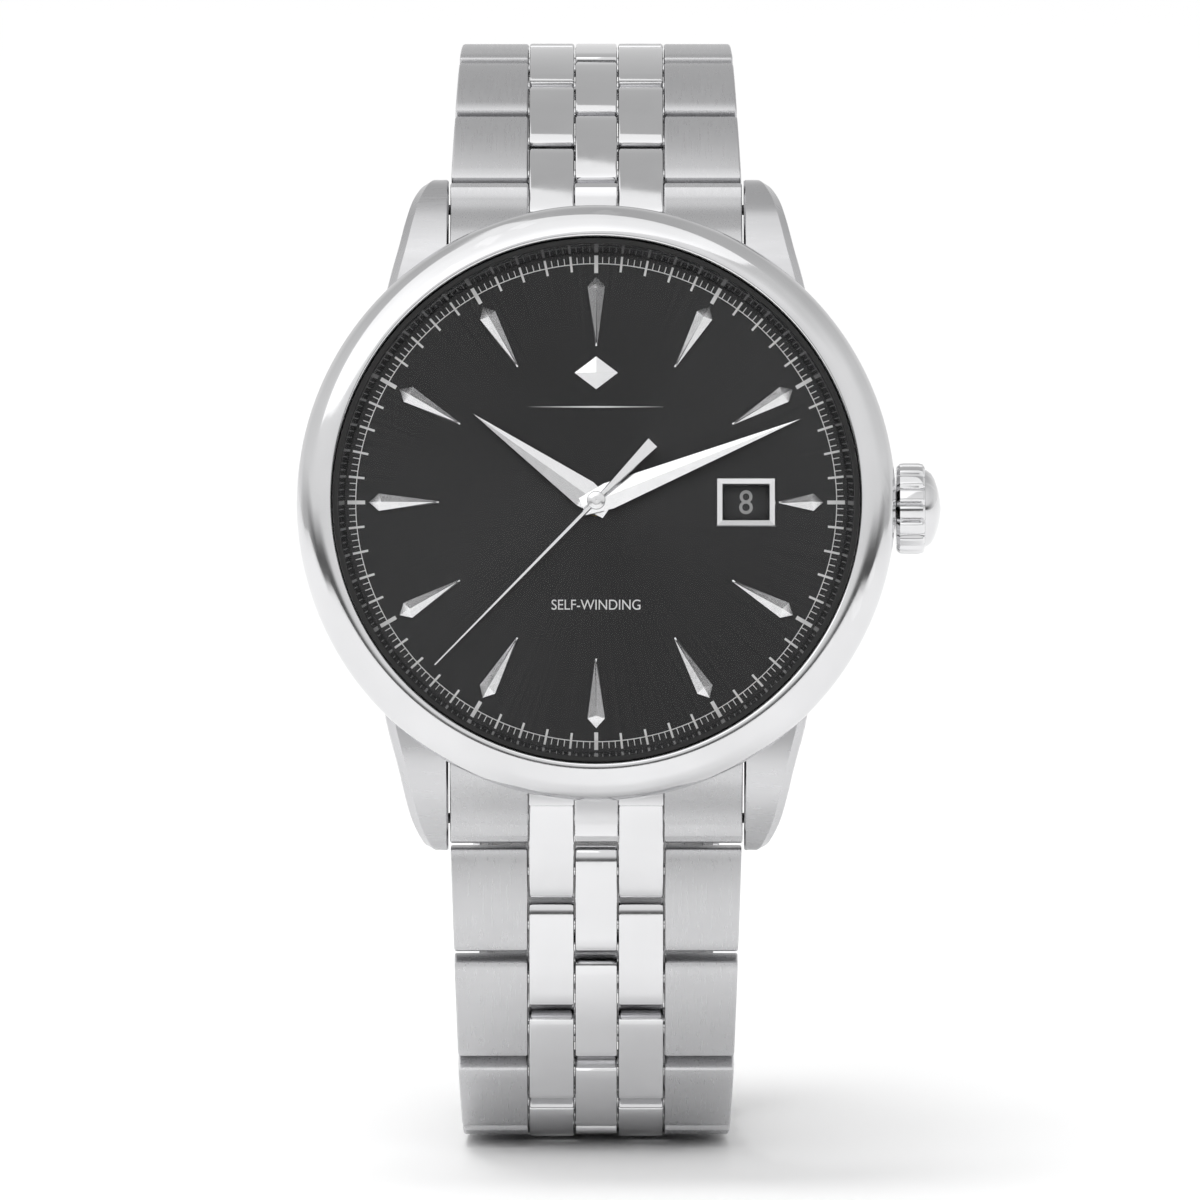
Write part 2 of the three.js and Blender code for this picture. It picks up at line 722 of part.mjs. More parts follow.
function palletFork() {
  const { x, y } = PALLET_FORK;
  const outline = [
    [0.5, 1.5],
    [0.1, 1.5],
    [-0.35, 0.3],
    [-3.0, 0.3],
    [-3.0, -0.3],
    [-0.35, -0.3],
    [0.1, -1.5],
    [0.5, -1.5],
    [0.5, -0.6],
    [0.2, 0],
    [0.5, 0.6],
  ];
  const arms = plate(outline, -1.3, -1.1);
  const staff = cylinder(0.2, -1.8, -0.4, 8);
  return join(arms, staff).translate(x, y, 0);
}

function balanceWheel() {
  const { x, y, radius } = BALANCE;
  const rim = plate(circlePoints(radius, 30), -1.85, -1.55, [circlePoints(radius - 0.45, 30).reverse()]);
  const arms = box(-radius + 0.2, radius - 0.2, -0.22, 0.22, -1.8, -1.6);
  const staff = cylinder(0.25, -2.2, -0.9, 8);
  return join(rim, arms, staff).translate(x, y, 0);
}

// The winding rotor hangs heavy side down, as the watch stands.
function rotor() {
  const sector = (inner, outer) => {
    const steps = 16;
    const out = Array.from({ length: steps + 1 }, (_, i) => radians(180 + (180 * i) / steps));
    return [
      ...out.map((turn) => [outer * Math.cos(turn), outer * Math.sin(turn)]),
      ...out.reverse().map((turn) => [inner * Math.cos(turn), inner * Math.sin(turn)]),
    ];
  };
  const web = plate(sector(1.2, ROTOR_RADIUS), -3.15, -2.85);
  const rim = plate(sector(ROTOR_RADIUS - 1.5, ROTOR_RADIUS), -3.4, -2.6);
  return cut(join(web, rim, cylinder(2.2, -3.4, -2.75, 24)), cylinder(0.9, -5, 0, 12));
}

// ---- assembly ----
function caseGroup() {
  const group = new THREE.Group();
  group.add(
    named("mid_case", midCase(), brushedSteel),
    named("bezel", bezel(), polishedSteel),
    named("crystal", crystal(), sapphire),
    named("rehaut", rehaut(), blackDial),
    named("case_back", caseBack(), brushedSteel),
    named("back_crystal", backCrystal(), sapphire),
    named("crown_tube", crownTube(), polishedSteel),
    named("winding_stem", windingStem(), polishedSteel),
    named("crown", crown(), polishedSteel),
    named("dial", dial(), blackDial),
    named("date_frame", dateFrame(), polishedSteel),
    named("date_disc", dateDisc(), darkDisc),
    named("main_plate", mainPlate(), nickel),
    named("barrel", barrel(), brass),
    named("train_bridge", trainBridge(), nickel),
    named("third_wheel", thirdWheel(), brass),
    named("escape_wheel", escapeWheel(), polishedSteel),
    named("pallet_fork", palletFork(), polishedSteel),
    named("balance_wheel", balanceWheel(), brass),
    named("rotor", rotor(), nickel),
  );
  const hands = [
    ["hour_hand", hourHand(), HOUR_HAND],
    ["minute_hand", minuteHand(), MINUTE_HAND],
    ["second_hand", secondHand(), SECOND_HAND],
  ];
  hands.forEach(([name, geometry, { angle }]) => {
    const hand = named(name, geometry, polishedSteel);
    hand.rotation.z = -radians(angle);
    group.add(hand);
  });
  return group;
}

// One end of the case: end link, spring bar, and the half of the bracelet that hangs from them.
function braceletEnd(half, directions, caseDirection, lastGeometry) {
  const group = new THREE.Group();
  group.add(named("end_link_" + half, endLink(), brushedSteel));
  group.add(named("spring_bar_" + half, springBar(), polishedSteel));
  const links = chain(half, directions, caseDirection, lastGeometry);
  links.root.position.set(0, LUG_PIN.y, LUG_PIN.z);
  group.add(links.root);
  return { group, end: links.end };
}

const watch = new THREE.Group();
const head = caseGroup();
const upper = braceletEnd("upper", UPPER_DIRECTIONS, DIAL_LEAN, null);
const lower = braceletEnd("lower", LOWER_DIRECTIONS, -DIAL_LEAN, lastLowerLink);
lower.group.rotation.z = Math.PI;
head.add(upper.group, lower.group);
head.rotation.x = radians(90 - DIAL_LEAN);
watch.add(head);
watch.updateMatrixWorld(true);

// The clasp joins the two ends: its arc length and direction follow from where the last pins are.
const upperPin = upper.end.localToWorld(new THREE.Vector3(0, HALF_PITCH, 0));
const lowerPin = lower.end.localToWorld(new THREE.Vector3(0, HALF_PITCH, 0));
const chord = upperPin.distanceTo(lowerPin);
const claspLength = 2 * CLASP_BEND_RADIUS * Math.asin(chord / 2 / CLASP_BEND_RADIUS);
const clasp = new THREE.Group();
const claspAlong = upperPin.clone().sub(lowerPin).normalize();
const claspAcross = new THREE.Vector3(-1, 0, 0);
const claspOut = new THREE.Vector3().crossVectors(claspAcross, claspAlong);
clasp.matrixAutoUpdate = false;
clasp.matrix.makeBasis(claspAcross, claspAlong, claspOut).setPosition(lowerPin);
clasp.add(
  named("clasp_cover", claspCover(claspLength), brushedSteel),
  named("clasp_inner_blade", innerBlade(claspLength), polishedSteel),
  named("clasp_outer_blade", outerBlade(claspLength), brushedSteel),
  named("clasp_button_right", claspButton(1, claspLength), polishedSteel),
  named("clasp_button_left", claspButton(-1, claspLength), polishedSteel),
);
watch.add(clasp);

// Move the whole watch so that the standing link's outer face is at the origin.
const standing = watch.getObjectByName("lower_outer_link_" + (STANDING_LINK + 1) / 2);
const ground = standing.localToWorld(new THREE.Vector3(0, 0, HALF_THICKNESS));
watch.children.forEach((child) => {
  child.position.sub(ground);
  if (!child.matrixAutoUpdate) child.matrix.setPosition(lowerPin.clone().sub(ground));
});

export default watch;
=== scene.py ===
"""A wristwatch that stands on its closed steel bracelet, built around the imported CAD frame.

Sizes are in millimetres and become metres in piece(). Case pieces are built in the case's own axes: x to
the right, y up the dial, z out of the dial, with the hub at the origin. A link's own axes are x across the
bracelet, y along it and z out of it, with the link's middle at the origin.
"""

import json
import math

import bmesh
import bpy
from mathutils import Matrix, Vector


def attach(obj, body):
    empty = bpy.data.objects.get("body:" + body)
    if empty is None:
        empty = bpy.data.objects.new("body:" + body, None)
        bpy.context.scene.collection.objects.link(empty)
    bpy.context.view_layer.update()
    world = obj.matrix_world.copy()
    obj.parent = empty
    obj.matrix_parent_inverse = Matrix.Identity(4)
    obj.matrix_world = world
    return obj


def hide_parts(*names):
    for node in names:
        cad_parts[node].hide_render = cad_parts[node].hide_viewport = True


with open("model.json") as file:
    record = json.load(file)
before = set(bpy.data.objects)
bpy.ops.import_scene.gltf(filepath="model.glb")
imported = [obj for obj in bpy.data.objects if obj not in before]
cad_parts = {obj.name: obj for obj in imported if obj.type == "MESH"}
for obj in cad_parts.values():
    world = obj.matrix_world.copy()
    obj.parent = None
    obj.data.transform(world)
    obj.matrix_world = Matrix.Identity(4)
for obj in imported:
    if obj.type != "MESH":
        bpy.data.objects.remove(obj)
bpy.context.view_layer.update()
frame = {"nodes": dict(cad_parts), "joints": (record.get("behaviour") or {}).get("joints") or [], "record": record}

MM = 0.001
X_AXIS = Vector((1, 0, 0))

# ---- sizes shared with the CAD part ----
CASE_RADIUS = 20.0
BEZEL_OPENING = 17.6
CASE_TOP = 1.2
CASE_BOTTOM = -3.6
DIAL_BACK = 1.9
DIAL_FACE = 2.3
CRYSTAL_BOTTOM = 3.95
CRYSTAL_TOP = 4.75
CRYSTAL_RADIUS = 17.2
LUG_GAP = 19.8
LUG_PIN = (20.5, -4.5)
STEM_HEIGHT = -1.4
PITCH = 7.4
HALF_PITCH = PITCH / 2
PIN_OFFSET = HALF_PITCH / 2
END_REACH = PIN_OFFSET - 0.17
HALF_THICKNESS = 1.45
CENTRE_HALF = 1.45
INNER_EDGE = 4.55
PIN_RADIUS = 0.46
BORE_RADIUS = 0.75
WIDTH_AT_LUGS = 19.5
WIDTH_AT_CLASP = 16.0
TAPER_LINKS = 14
LAST_LINK_DIRECTION = 134.0
DATE_CENTRE = 10.0
DATE_HALF = (1.5, 1.15)
DATE_BAR = 0.5
DATE_DISC_RADII = (8.4, 12.3)
DATE_DISC_HEIGHTS = (1.35, 1.6)
HAND_TURNS = {"hour": 305.7, "minute": 68.0, "second": 224.3}

# ---- sizes of the visual model only ----
# The plates stand closer side by side than in CAD, where solids need clear space between them.
SIDE_GAP = 0.04
OUTER_CROWNING = 0.24
INNER_CROWNING = 0.2
PLATE_BEVEL = 0.14
ARC_STEPS = 8

# ---- how finely things are drawn ----
ROUND = 128
FINE_ROUND = 192
SMALL_ROUND = 48
PIN_SIDES = 32
BEVEL_SEGMENTS = 2
SHARP_EDGE = math.radians(30)
FACETED = math.radians(3)
FLAT_ENOUGH = math.radians(1.5)


# ---- where things are ----
JOINTS = {joint["name"]: joint for joint in frame["joints"]}
BODIES = frame["record"]["behaviour"]["bodies"]
BODY_OF = {node: body for body, nodes in BODIES.items() for node in nodes}


def pivot(joint):
    return Vector(JOINTS[joint]["pos_m"])


def placed(origin, x_axis, y_axis):
    turn = Matrix((x_axis, y_axis, x_axis.cross(y_axis))).transposed()
    return Matrix.Translation(origin) @ turn.to_4x4()


HUB = pivot("second_hand_turn")
DIAL_NORMAL = -Vector(JOINTS["second_hand_turn"]["axis"]).normalized()
CASE = placed(HUB, X_AXIS, DIAL_NORMAL.cross(X_AXIS))


# ---- outlines ----
def circle(radius, sides=SMALL_ROUND, centre=(0.0, 0.0)):
    turns = [2 * math.pi * i / sides for i in range(sides)]
    return [(centre[0] + radius * math.cos(t), centre[1] + radius * math.sin(t)) for t in turns]


def filleted(points, radius, steps=4):
    """The closed outline with each corner rounded. A side that is short for the radius rounds less."""
    longest_share = 0.45
    out = []
    count = len(points)
    for i, corner in enumerate(points):
        at = Vector(corner)
        before, after = Vector(points[i - 1]) - at, Vector(points[(i + 1) % count]) - at
        start = at + before.normalized() * min(radius, longest_share * before.length)
        end = at + after.normalized() * min(radius, longest_share * after.length)
        for step in range(steps + 1):
            share = step / steps
            point = start * (1 - share) ** 2 + at * (2 * share * (1 - share)) + end * share**2
            out.append(tuple(point))
    return out


def gear(radius, teeth, depth):
    """A wheel's outline with trapezoid teeth."""
    tooth = ((0.0, radius - depth), (0.3, radius - depth), (0.45, radius), (0.85, radius))
    out = []
    for i in range(teeth):
        for share, reach in tooth:
            turn = 2 * math.pi * (i + share) / teeth
            out.append((reach * math.cos(turn), reach * math.sin(turn)))
    return out


def smooth_line(points, steps):
    """A curve through the points (Catmull-Rom), with that many parts between each two."""
    vectors = [Vector(p) for p in points]
    ends = [2 * vectors[0] - vectors[1], *vectors, 2 * vectors[-1] - vectors[-2]]
    out = []
    for i in range(len(vectors) - 1):
        p0, p1, p2, p3 = ends[i : i + 4]
        for step in range(steps):
            t = step / steps
            tangent = (p2 - p0) * t + (2 * p0 - 5 * p1 + 4 * p2 - p3) * t**2
            out.append(0.5 * (2 * p1 + tangent + (3 * p1 - p0 - 3 * p2 + p3) * t**3))
    return [tuple(v) for v in [*out, vectors[-1]]]


# ---- solids, as bmeshes in millimetres ----
def prism(outline, low, high, bevel=0.0, across=False, slot=0):
    """An outline pushed up z, or one in y and z pushed across x, with its cap edges rounded by the bevel."""
    bm = bmesh.new()
    rings = []
    for height in (low, high):
        points = [(height, a, b) if across else (a, b, height) for a, b in outline]
        rings.append([bm.verts.new(p) for p in points])
    count = len(outline)
    caps = [bm.faces.new(rings[0]), bm.faces.new(rings[1])]
    for i in range(count):
        j = (i + 1) % count
        bm.faces.new((rings[0][i], rings[0][j], rings[1][j], rings[1][i]))
    bmesh.ops.recalc_face_normals(bm, faces=bm.faces)
    if bevel:
        rounded(bm, list({edge for cap in caps for edge in cap.edges}), bevel)
    return slotted(bm, slot)


def rounded(bm, edges, radius):
    bmesh.ops.bevel(
        bm,
        geom=edges,
        offset=radius,
        segments=BEVEL_SEGMENTS,
        profile=0.5,
        affect="EDGES",
        clamp_overlap=True,
    )


def slotted(bm, slot):
    for face in bm.faces:
        face.material_index = slot
    return bm


def lathe(profile, sides=ROUND, slot=0, reach=None):
    """Turned about z from (radius, height) points. reach(turn, radius, height) may change the radius."""
    bm = bmesh.new()
    columns = []
    for i in range(sides):
        turn = 2 * math.pi * i / sides
        column = []
        for radius, height in profile:
            out = reach(turn, radius, height) if reach else radius
            column.append(bm.verts.new((out * math.cos(turn), out * math.sin(turn), height)))
        columns.append(column)
    rows = len(profile)
    for i, column in enumerate(columns):
        other = columns[(i + 1) % sides]
        for row in range(rows):
            after = (row + 1) % rows
            bm.faces.new((column[row], other[row], other[after], column[after]))
    bmesh.ops.remove_doubles(bm, verts=bm.verts, dist=1e-5)
    bmesh.ops.dissolve_degenerate(bm, dist=1e-6, edges=bm.edges)
    bmesh.ops.recalc_face_normals(bm, faces=bm.faces)
    return slotted(bm, slot)


def loft(sections, slot=0):
    """A closed skin through loops of the same number of points."""
    bm = bmesh.new()
    loops = [[bm.verts.new(point) for point in section] for section in sections]
    for loop, after in zip(loops, loops[1:]):
        count = len(loop)
        for i in range(count):
            j = (i + 1) % count
            bm.faces.new((loop[i], loop[j], after[j], after[i]))
    bm.faces.new(loops[0])
    bm.faces.new(loops[-1])
    bmesh.ops.recalc_face_normals(bm, faces=bm.faces)
    return slotted(bm, slot)


def ring(inner, outer, low, high, sides=SMALL_ROUND):
    return lathe([(inner, low), (outer, low), (outer, high), (inner, high)], sides)


def pin(y, z, radius, left, right, slot=0, bevel=0.06):
    """A round bar across the bracelet."""
    return prism(circle(radius, PIN_SIDES, (y, z)), left, right, bevel, across=True, slot=slot)


def gathered(*parts):
    """Several bmeshes as one."""
    whole = bmesh.new()
    for part in parts:
        mesh = bpy.data.meshes.new("part")
        part.to_mesh(mesh)
        part.free()
        whole.from_mesh(mesh)
        bpy.data.meshes.remove(mesh)
    return whole


def moved(bm, offset=(0, 0, 0), turn=0.0, axis="Z"):
    """Turned about the origin, and then shifted."""
    bmesh.ops.rotate(bm, verts=bm.verts, cent=(0, 0, 0), matrix=Matrix.Rotation(turn, 3, axis))
    bmesh.ops.translate(bm, verts=bm.verts, vec=offset)
    return bm


def mirrored(bm, axis):
    """Mirrored along the axis of that number."""
    flip = [1.0, 1.0, 1.0]
    flip[axis] = -1.0
    bmesh.ops.scale(bm, verts=bm.verts, vec=flip)
    bmesh.ops.reverse_faces(bm, faces=bm.faces)
    return bm


def carved(bm, *tools, operation="DIFFERENCE"):
    """The solid with the tools cut from it, or joined to it."""
    def as_object(part):
        mesh = bpy.data.meshes.new("solid")
        part.to_mesh(mesh)
        part.free()
        made = bpy.data.objects.new("solid", mesh)
        bpy.context.scene.collection.objects.link(made)
        return made

    target = as_object(bm)
    cutters = [as_object(tool) for tool in tools]
    for cutter in cutters:
        modifier = target.modifiers.new("cut", "BOOLEAN")
        modifier.operation = operation
        modifier.solver = "EXACT"
        modifier.object = cutter
    bpy.context.view_layer.update()
    result = bmesh.new()
    result.from_object(target, bpy.context.evaluated_depsgraph_get())
    for made in [target, *cutters]:
        bpy.data.objects.remove(made)
    return result


def piece(name, bm, body, materials, replaced=(), place=CASE, sharp=SHARP_EDGE):
    """Puts a solid into the scene as one named piece that rides on a body. Faceted pieces keep flat faces."""
    bmesh.ops.scale(bm, verts=bm.verts, vec=(MM, MM, MM))
    mesh = bpy.data.meshes.new(name)
    bm.to_mesh(mesh)
    bm.free()
    mesh.polygons.foreach_set("use_smooth", [True] * len(mesh.polygons))
    mesh.set_sharp_from_angle(angle=sharp)
    for material in materials:
        mesh.materials.append(material)
    made = bpy.data.objects.new(name, mesh)
    bpy.context.scene.collection.objects.link(made)
    made.matrix_world = place
    if sharp > FACETED:
        even = made.modifiers.new("even_shading", "WEIGHTED_NORMAL")
        even.keep_sharp = True
    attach(made, body)
    if replaced:
        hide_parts(*replaced)
    return made


def softened(node, bevel, material, place=CASE):
    """A CAD node's shape again, with its sharp edges rounded."""
    bm = bmesh.new()
    bm.from_mesh(frame["nodes"][node].data)
    bmesh.ops.transform(bm, matrix=Matrix.Scale(1 / MM, 4) @ place.inverted(), verts=bm.verts)
    bmesh.ops.remove_doubles(bm, verts=bm.verts, dist=1e-4)
    bmesh.ops.dissolve_limit(bm, angle_limit=FLAT_ENOUGH, verts=bm.verts, edges=bm.edges)
    rounded(bm, [e for e in bm.edges if e.is_manifold and e.calc_face_angle() > SHARP_EDGE], bevel)
    return piece(node + "_body", slotted(bm, 0), BODY_OF[node], [material], (node,), place)


# ---- materials ----
def new_material(name):
    material = bpy.data.materials.new(name)
    material.use_nodes = True
    return material, material.node_tree, material.node_tree.nodes["Principled BSDF"]


def add(tree, kind, inputs=None, **settings):
    """Adds a node. An input is a value, or another node's output to link to it."""
    made = tree.nodes.new("ShaderNode" + kind)
    for key, value in settings.items():
        setattr(made, key, value)
    for key, value in (inputs or {}).items():
        if isinstance(value, bpy.types.NodeSocket):
            tree.links.new(value, made.inputs[key])
        else:
            made.inputs[key].default_value = value
    return made


def maths(tree, operation, first, second):
    return add(tree, "Math", {0: first, 1: second}, operation=operation).outputs[0]


def noise(tree, vector, sizes, detail=3.0):
    """Noise whose marks are about these sizes in millimetres along x, y and z."""
    scale = [1 / (size * MM) for size in sizes]
    stretched = add(tree, "Mapping", {"Vector": vector, "Scale": scale}).outputs[0]
    return add(tree, "TexNoise", {"Vector": stretched, "Scale": 1.0, "Detail": detail}).outputs["Fac"]


def ranged(tree, value, low, high, start=0.3, end=0.7):
    """The value's span from start to end, mapped to low to high."""
    made = add(tree, "MapRange", {"Value": value, "From Min": start, "From Max": end})
    made.inputs["To Min"].default_value = low
    made.inputs["To Max"].default_value = high
    return made.outputs[0]


def shaded(tree, colour, darker, fac):
    """A colour that varies between darker times itself and itself."""
    mix = add(tree, "Mix", data_type="RGBA")
    tree.links.new(fac, mix.inputs["Factor"])
    mix.inputs["A"].default_value = (*[c * darker for c in colour], 1)
    mix.inputs["B"].default_value = (*colour, 1)
    return mix.outputs["Result"]


def metal(name, colour, roughness, grain, height, anisotropy=0.0, tangent="X", spread=0.04, edge_highlight=1.12):
    """Metal with drawn or buffed marks of the given sizes, slow tone changes and a painted highlight that makes
    the colour brighter along sharp edges.
    """
    material, tree, shader = new_material(name)
    here = add(tree, "TexCoord").outputs["Object"]
    marks = noise(tree, here, grain)
    cloud = noise(tree, here, (5.0, 5.0, 5.0), 2.0)
    tone = shaded(tree, colour, 0.93, ranged(tree, cloud, 0.0, 1.0))
    # Painted highlight: sharp convex edges get a brighter colour, standing in for the glint of light along them.
    edges = ranged(tree, add(tree, "NewGeometry").outputs["Pointiness"], 0.0, 1.0, 0.52, 0.6)
    edge_highlight_mix = add(tree, "Mix", data_type="RGBA")
    tree.links.new(edges, edge_highlight_mix.inputs["Factor"])
    tree.links.new(tone, edge_highlight_mix.inputs["A"])
    edge_highlight_mix.inputs["B"].default_value = (*[min(1.0, c * edge_highlight) for c in colour], 1)
    tree.links.new(edge_highlight_mix.outputs["Result"], shader.inputs["Base Color"])
    tree.links.new(ranged(tree, marks, roughness - spread, roughness + spread), shader.inputs["Roughness"])
    bump = add(tree, "Bump", {"Height": marks, "Distance": height * MM})
    tree.links.new(bump.outputs[0], shader.inputs["Normal"])
    shader.inputs["Metallic"].default_value = 1.0
    if anisotropy:
        shader.inputs["Anisotropic"].default_value = anisotropy
        axis = add(tree, "Tangent", direction_type="RADIAL", axis=tangent)
        tree.links.new(axis.outputs[0], shader.inputs["Tangent"])
    return material


def sunray(name, colour, roughness):
    """Lacquer over metal that is brushed outwards from the hub."""
    material, tree, shader = new_material(name)
    here = add(tree, "TexCoord").outputs["Object"]
    parts = add(tree, "SeparateXYZ", {0: here})
    angle = maths(tree, "ARCTAN2", parts.outputs["Y"], parts.outputs["X"])
    streaks = add(tree, "TexNoise", {"W": angle, "Scale": 60.0, "Detail": 6.0}, noise_dimensions="1D")
    rays = streaks.outputs["Fac"]
    cloud = noise(tree, here, (7.0, 7.0, 7.0), 2.0)
    tree.links.new(shaded(tree, colour, 0.78, ranged(tree, rays, 0.0, 1.0)), shader.inputs["Base Color"])
    tree.links.new(ranged(tree, cloud, roughness - 0.03, roughness + 0.03), shader.inputs["Roughness"])
    bump = add(tree, "Bump", {"Height": rays, "Distance": 0.0015 * MM})
    tree.links.new(bump.outputs[0], shader.inputs["Normal"])
    shader.inputs["Metallic"].default_value = 1.0
    shader.inputs["Anisotropic"].default_value = 0.9
    axis = add(tree, "Tangent", direction_type="RADIAL", axis="Z")
    tree.links.new(axis.outputs[0], shader.inputs["Tangent"])
    shader.inputs["Coat Weight"].default_value = 0.25
    shader.inputs["Coat Roughness"].default_value = 0.12
    return material


def coated(name, colour, roughness, coat=0.0, size=0.4, height=0.002):
    """Print, lacquer, rubber or stone: a fine uneven surface with slow tone changes."""
    material, tree, shader = new_material(name)
    here = add(tree, "TexCoord").outputs["Object"]
    marks = noise(tree, here, (size, size, size))
    cloud = noise(tree, here, (4.0, 4.0, 4.0), 2.0)
    tree.links.new(shaded(tree, colour, 0.88, ranged(tree, cloud, 0.0, 1.0)), shader.inputs["Base Color"])
    tree.links.new(ranged(tree, marks, roughness - 0.05, roughness + 0.05), shader.inputs["Roughness"])
    bump = add(tree, "Bump", {"Height": marks, "Distance": height * MM})
    tree.links.new(bump.outputs[0], shader.inputs["Normal"])
    shader.inputs["Coat Weight"].default_value = coat
    return material


def striped_plate(name, colour):
    """Nickel plate with broad decorative stripes, each brushed across its width."""
    material, tree, shader = new_material(name)
    here = add(tree, "TexCoord").outputs["Object"]
    wave = add(tree, "TexWave", {"Vector": here, "Scale": 110.0, "Distortion": 0.0}, bands_direction="X")
    wave.wave_profile = "SAW"
    fine = noise(tree, here, (0.6, 0.05, 0.6))
    tree.links.new(shaded(tree, colour, 0.72, wave.outputs["Fac"]), shader.inputs["Base Color"])
    tree.links.new(ranged(tree, fine, 0.2, 0.34), shader.inputs["Roughness"])
    height = maths(tree, "ADD", maths(tree, "MULTIPLY", fine, 0.2), wave.outputs["Fac"])
    bump = add(tree, "Bump", {"Height": height, "Distance": 0.03 * MM})
    tree.links.new(bump.outputs[0], shader.inputs["Normal"])
    shader.inputs["Metallic"].default_value = 1.0
    return material


def clear_crystal(name):
    """Coated sapphire: what is behind it shows unbent, under a weak mirror that grows at grazing angles."""
    material, tree, shader = new_material(name)
    here = add(tree, "TexCoord").outputs["Object"]
    smear = ranged(tree, noise(tree, here, (9.0, 5.0, 9.0), 2.0), 0.01, 0.05)
    glass = add(tree, "BsdfTransparent", {"Color": (0.985, 0.985, 0.985, 1.0)})
    mirror = add(tree, "BsdfGlossy", {"Color": (0.85, 0.85, 0.85, 1.0), "Roughness": smear})
    bend = add(tree, "Fresnel", {"IOR": 1.12})
    mix = add(tree, "MixShader", {0: bend.outputs[0], 1: glass.outputs[0], 2: mirror.outputs[0]})
    tree.nodes.remove(shader)
    tree.links.new(mix.outputs[0], tree.nodes["Material Output"].inputs["Surface"])
    return material


STEEL = (0.58, 0.58, 0.59)
BRUSHED = metal("brushed_steel_long", STEEL, 0.3, (0.1, 4.0, 0.1), 0.0012, 0.6, "X")
BRUSHED_ROUND = metal("brushed_steel_round", STEEL, 0.3, (2.5, 2.5, 0.1), 0.0012, 0.6, "Z")
POLISHED = metal("polished_steel", (0.75, 0.75, 0.76), 0.1, (1.2, 1.2, 1.2), 0.0006, spread=0.03, edge_highlight=1.05)
MARK_STEEL = metal("mark_steel", (0.86, 0.86, 0.87), 0.2, (0.5, 0.5, 0.5), 0.0002, spread=0.03, edge_highlight=1.02)
BRASS = metal("gilt_brass", (0.72, 0.54, 0.25), 0.28, (0.6, 0.6, 0.6), 0.002, 0.5, "Z")
PLATE_NICKEL = metal("frosted_nickel", (0.6, 0.59, 0.57), 0.34, (0.25, 0.25, 0.25), 0.004)
STRIPED = striped_plate("striped_nickel", (0.66, 0.65, 0.62))
DIAL_BLACK = sunray("sunray_black", (0.042, 0.042, 0.043), 0.42)
RING_BLACK = coated("rehaut_black", (0.03, 0.03, 0.032), 0.2, coat=0.6)
DISC_BLACK = coated("date_disc_black", (0.02, 0.02, 0.022), 0.5)
PRINT = coated("pale_print", (0.8, 0.8, 0.8), 0.5)
DATE_PRINT = coated("grey_print", (0.42, 0.42, 0.42), 0.5)
RUBY = coated("synthetic_ruby", (0.42, 0.015, 0.05), 0.12, coat=0.8)
RUBBER = coated("black_rubber", (0.015, 0.015, 0.015), 0.7, size=0.1, height=0.01)
SAPPHIRE = clear_crystal("sapphire")


# ---- case ----
def lug_section(outer, top, bottom):
    """One slice of a lug: top and bottom are (y, z), and outer is its outer x there."""
    chamfer, drop, round_off, edge, thinnest = 0.55, 0.45, 0.12, 0.06, 0.6
    edge_share, corner_share = 0.06, 0.1
    inner = LUG_GAP / 2

    def between(start, end, share):
        return start[0] + (end[0] - start[0]) * share, start[1] + (end[1] - start[1]) * share

    side = between(top, bottom, drop / max(thinnest, math.hypot(top[0] - bottom[0], top[1] - bottom[1])))
    return [
        (inner + round_off, *top),
        (outer - chamfer, *top),
        (outer - edge, *side),
        (outer, *between(side, bottom, corner_share)),
        (outer, *between(bottom, side, corner_share)),
        (outer - round_off, *bottom),
        (inner, *bottom),
        (inner, *between(top, bottom, edge_share)),
    ]


def lug():
    """The lug at the upper right: a thick blade that narrows and turns down to its tip.

    Each station is the outer x, then the top's y and z and the bottom's y and z.
    """
    stations = smooth_line(
        [
            (14.0, 11.0, 0.9, 11.0, -3.4),
            (14.2, 13.2, 0.95, 13.0, -3.6),
            (13.9, 15.0, 0.9, 14.8, -3.85),
            (13.25, 17.5, 0.45, 17.0, -4.8),
            (12.8, 19.4, -0.45, 18.5, -5.6),
            (12.35, 21.0, -1.95, 19.6, -6.05),
            (11.75, 22.2, -3.65, 20.5, -6.3),
            (11.3, 22.6, -5.1, 21.4, -6.35),
            (10.9, 22.35, -5.9, 21.9, -6.25),
        ],
        5,
    )
    return loft([lug_section(x, (ty, tz), (by, bz)) for x, ty, tz, by, bz in stations])


def case_middle():
    profile = filleted(
        [
            (16.2, CASE_BOTTOM),
            (17.5, CASE_BOTTOM),
            (18.7, -2.9),
            (19.55, -1.5),
            (19.72, -0.5),
            (19.72, CASE_TOP),
            (16.2, CASE_TOP),
        ],
        0.5,
    )
    lugs = [lug(), mirrored(lug(), 0), mirrored(lug(), 1), mirrored(mirrored(lug(), 0), 1)]
    bm = gathered(lathe(profile), *lugs)
    piece("case_middle", bm, "case", [BRUSHED_ROUND], ("mid_case",))


def bezel_ring():
    profile = filleted(
        [
            (BEZEL_OPENING, CASE_TOP + 0.3),
            (19.6, CASE_TOP + 0.3),
            (CASE_RADIUS, 1.85),
            (CASE_RADIUS, 2.5),
            (19.72, 3.2),
            (19.1, 3.88),
            (18.3, 4.28),
            (17.85, 4.35),
            (17.68, 4.28),
            (BEZEL_OPENING, 4.05),
        ],
        0.3,
        6,
    )
    piece("bezel_ring", lathe(profile, FINE_ROUND), "case", [POLISHED], ("bezel",))


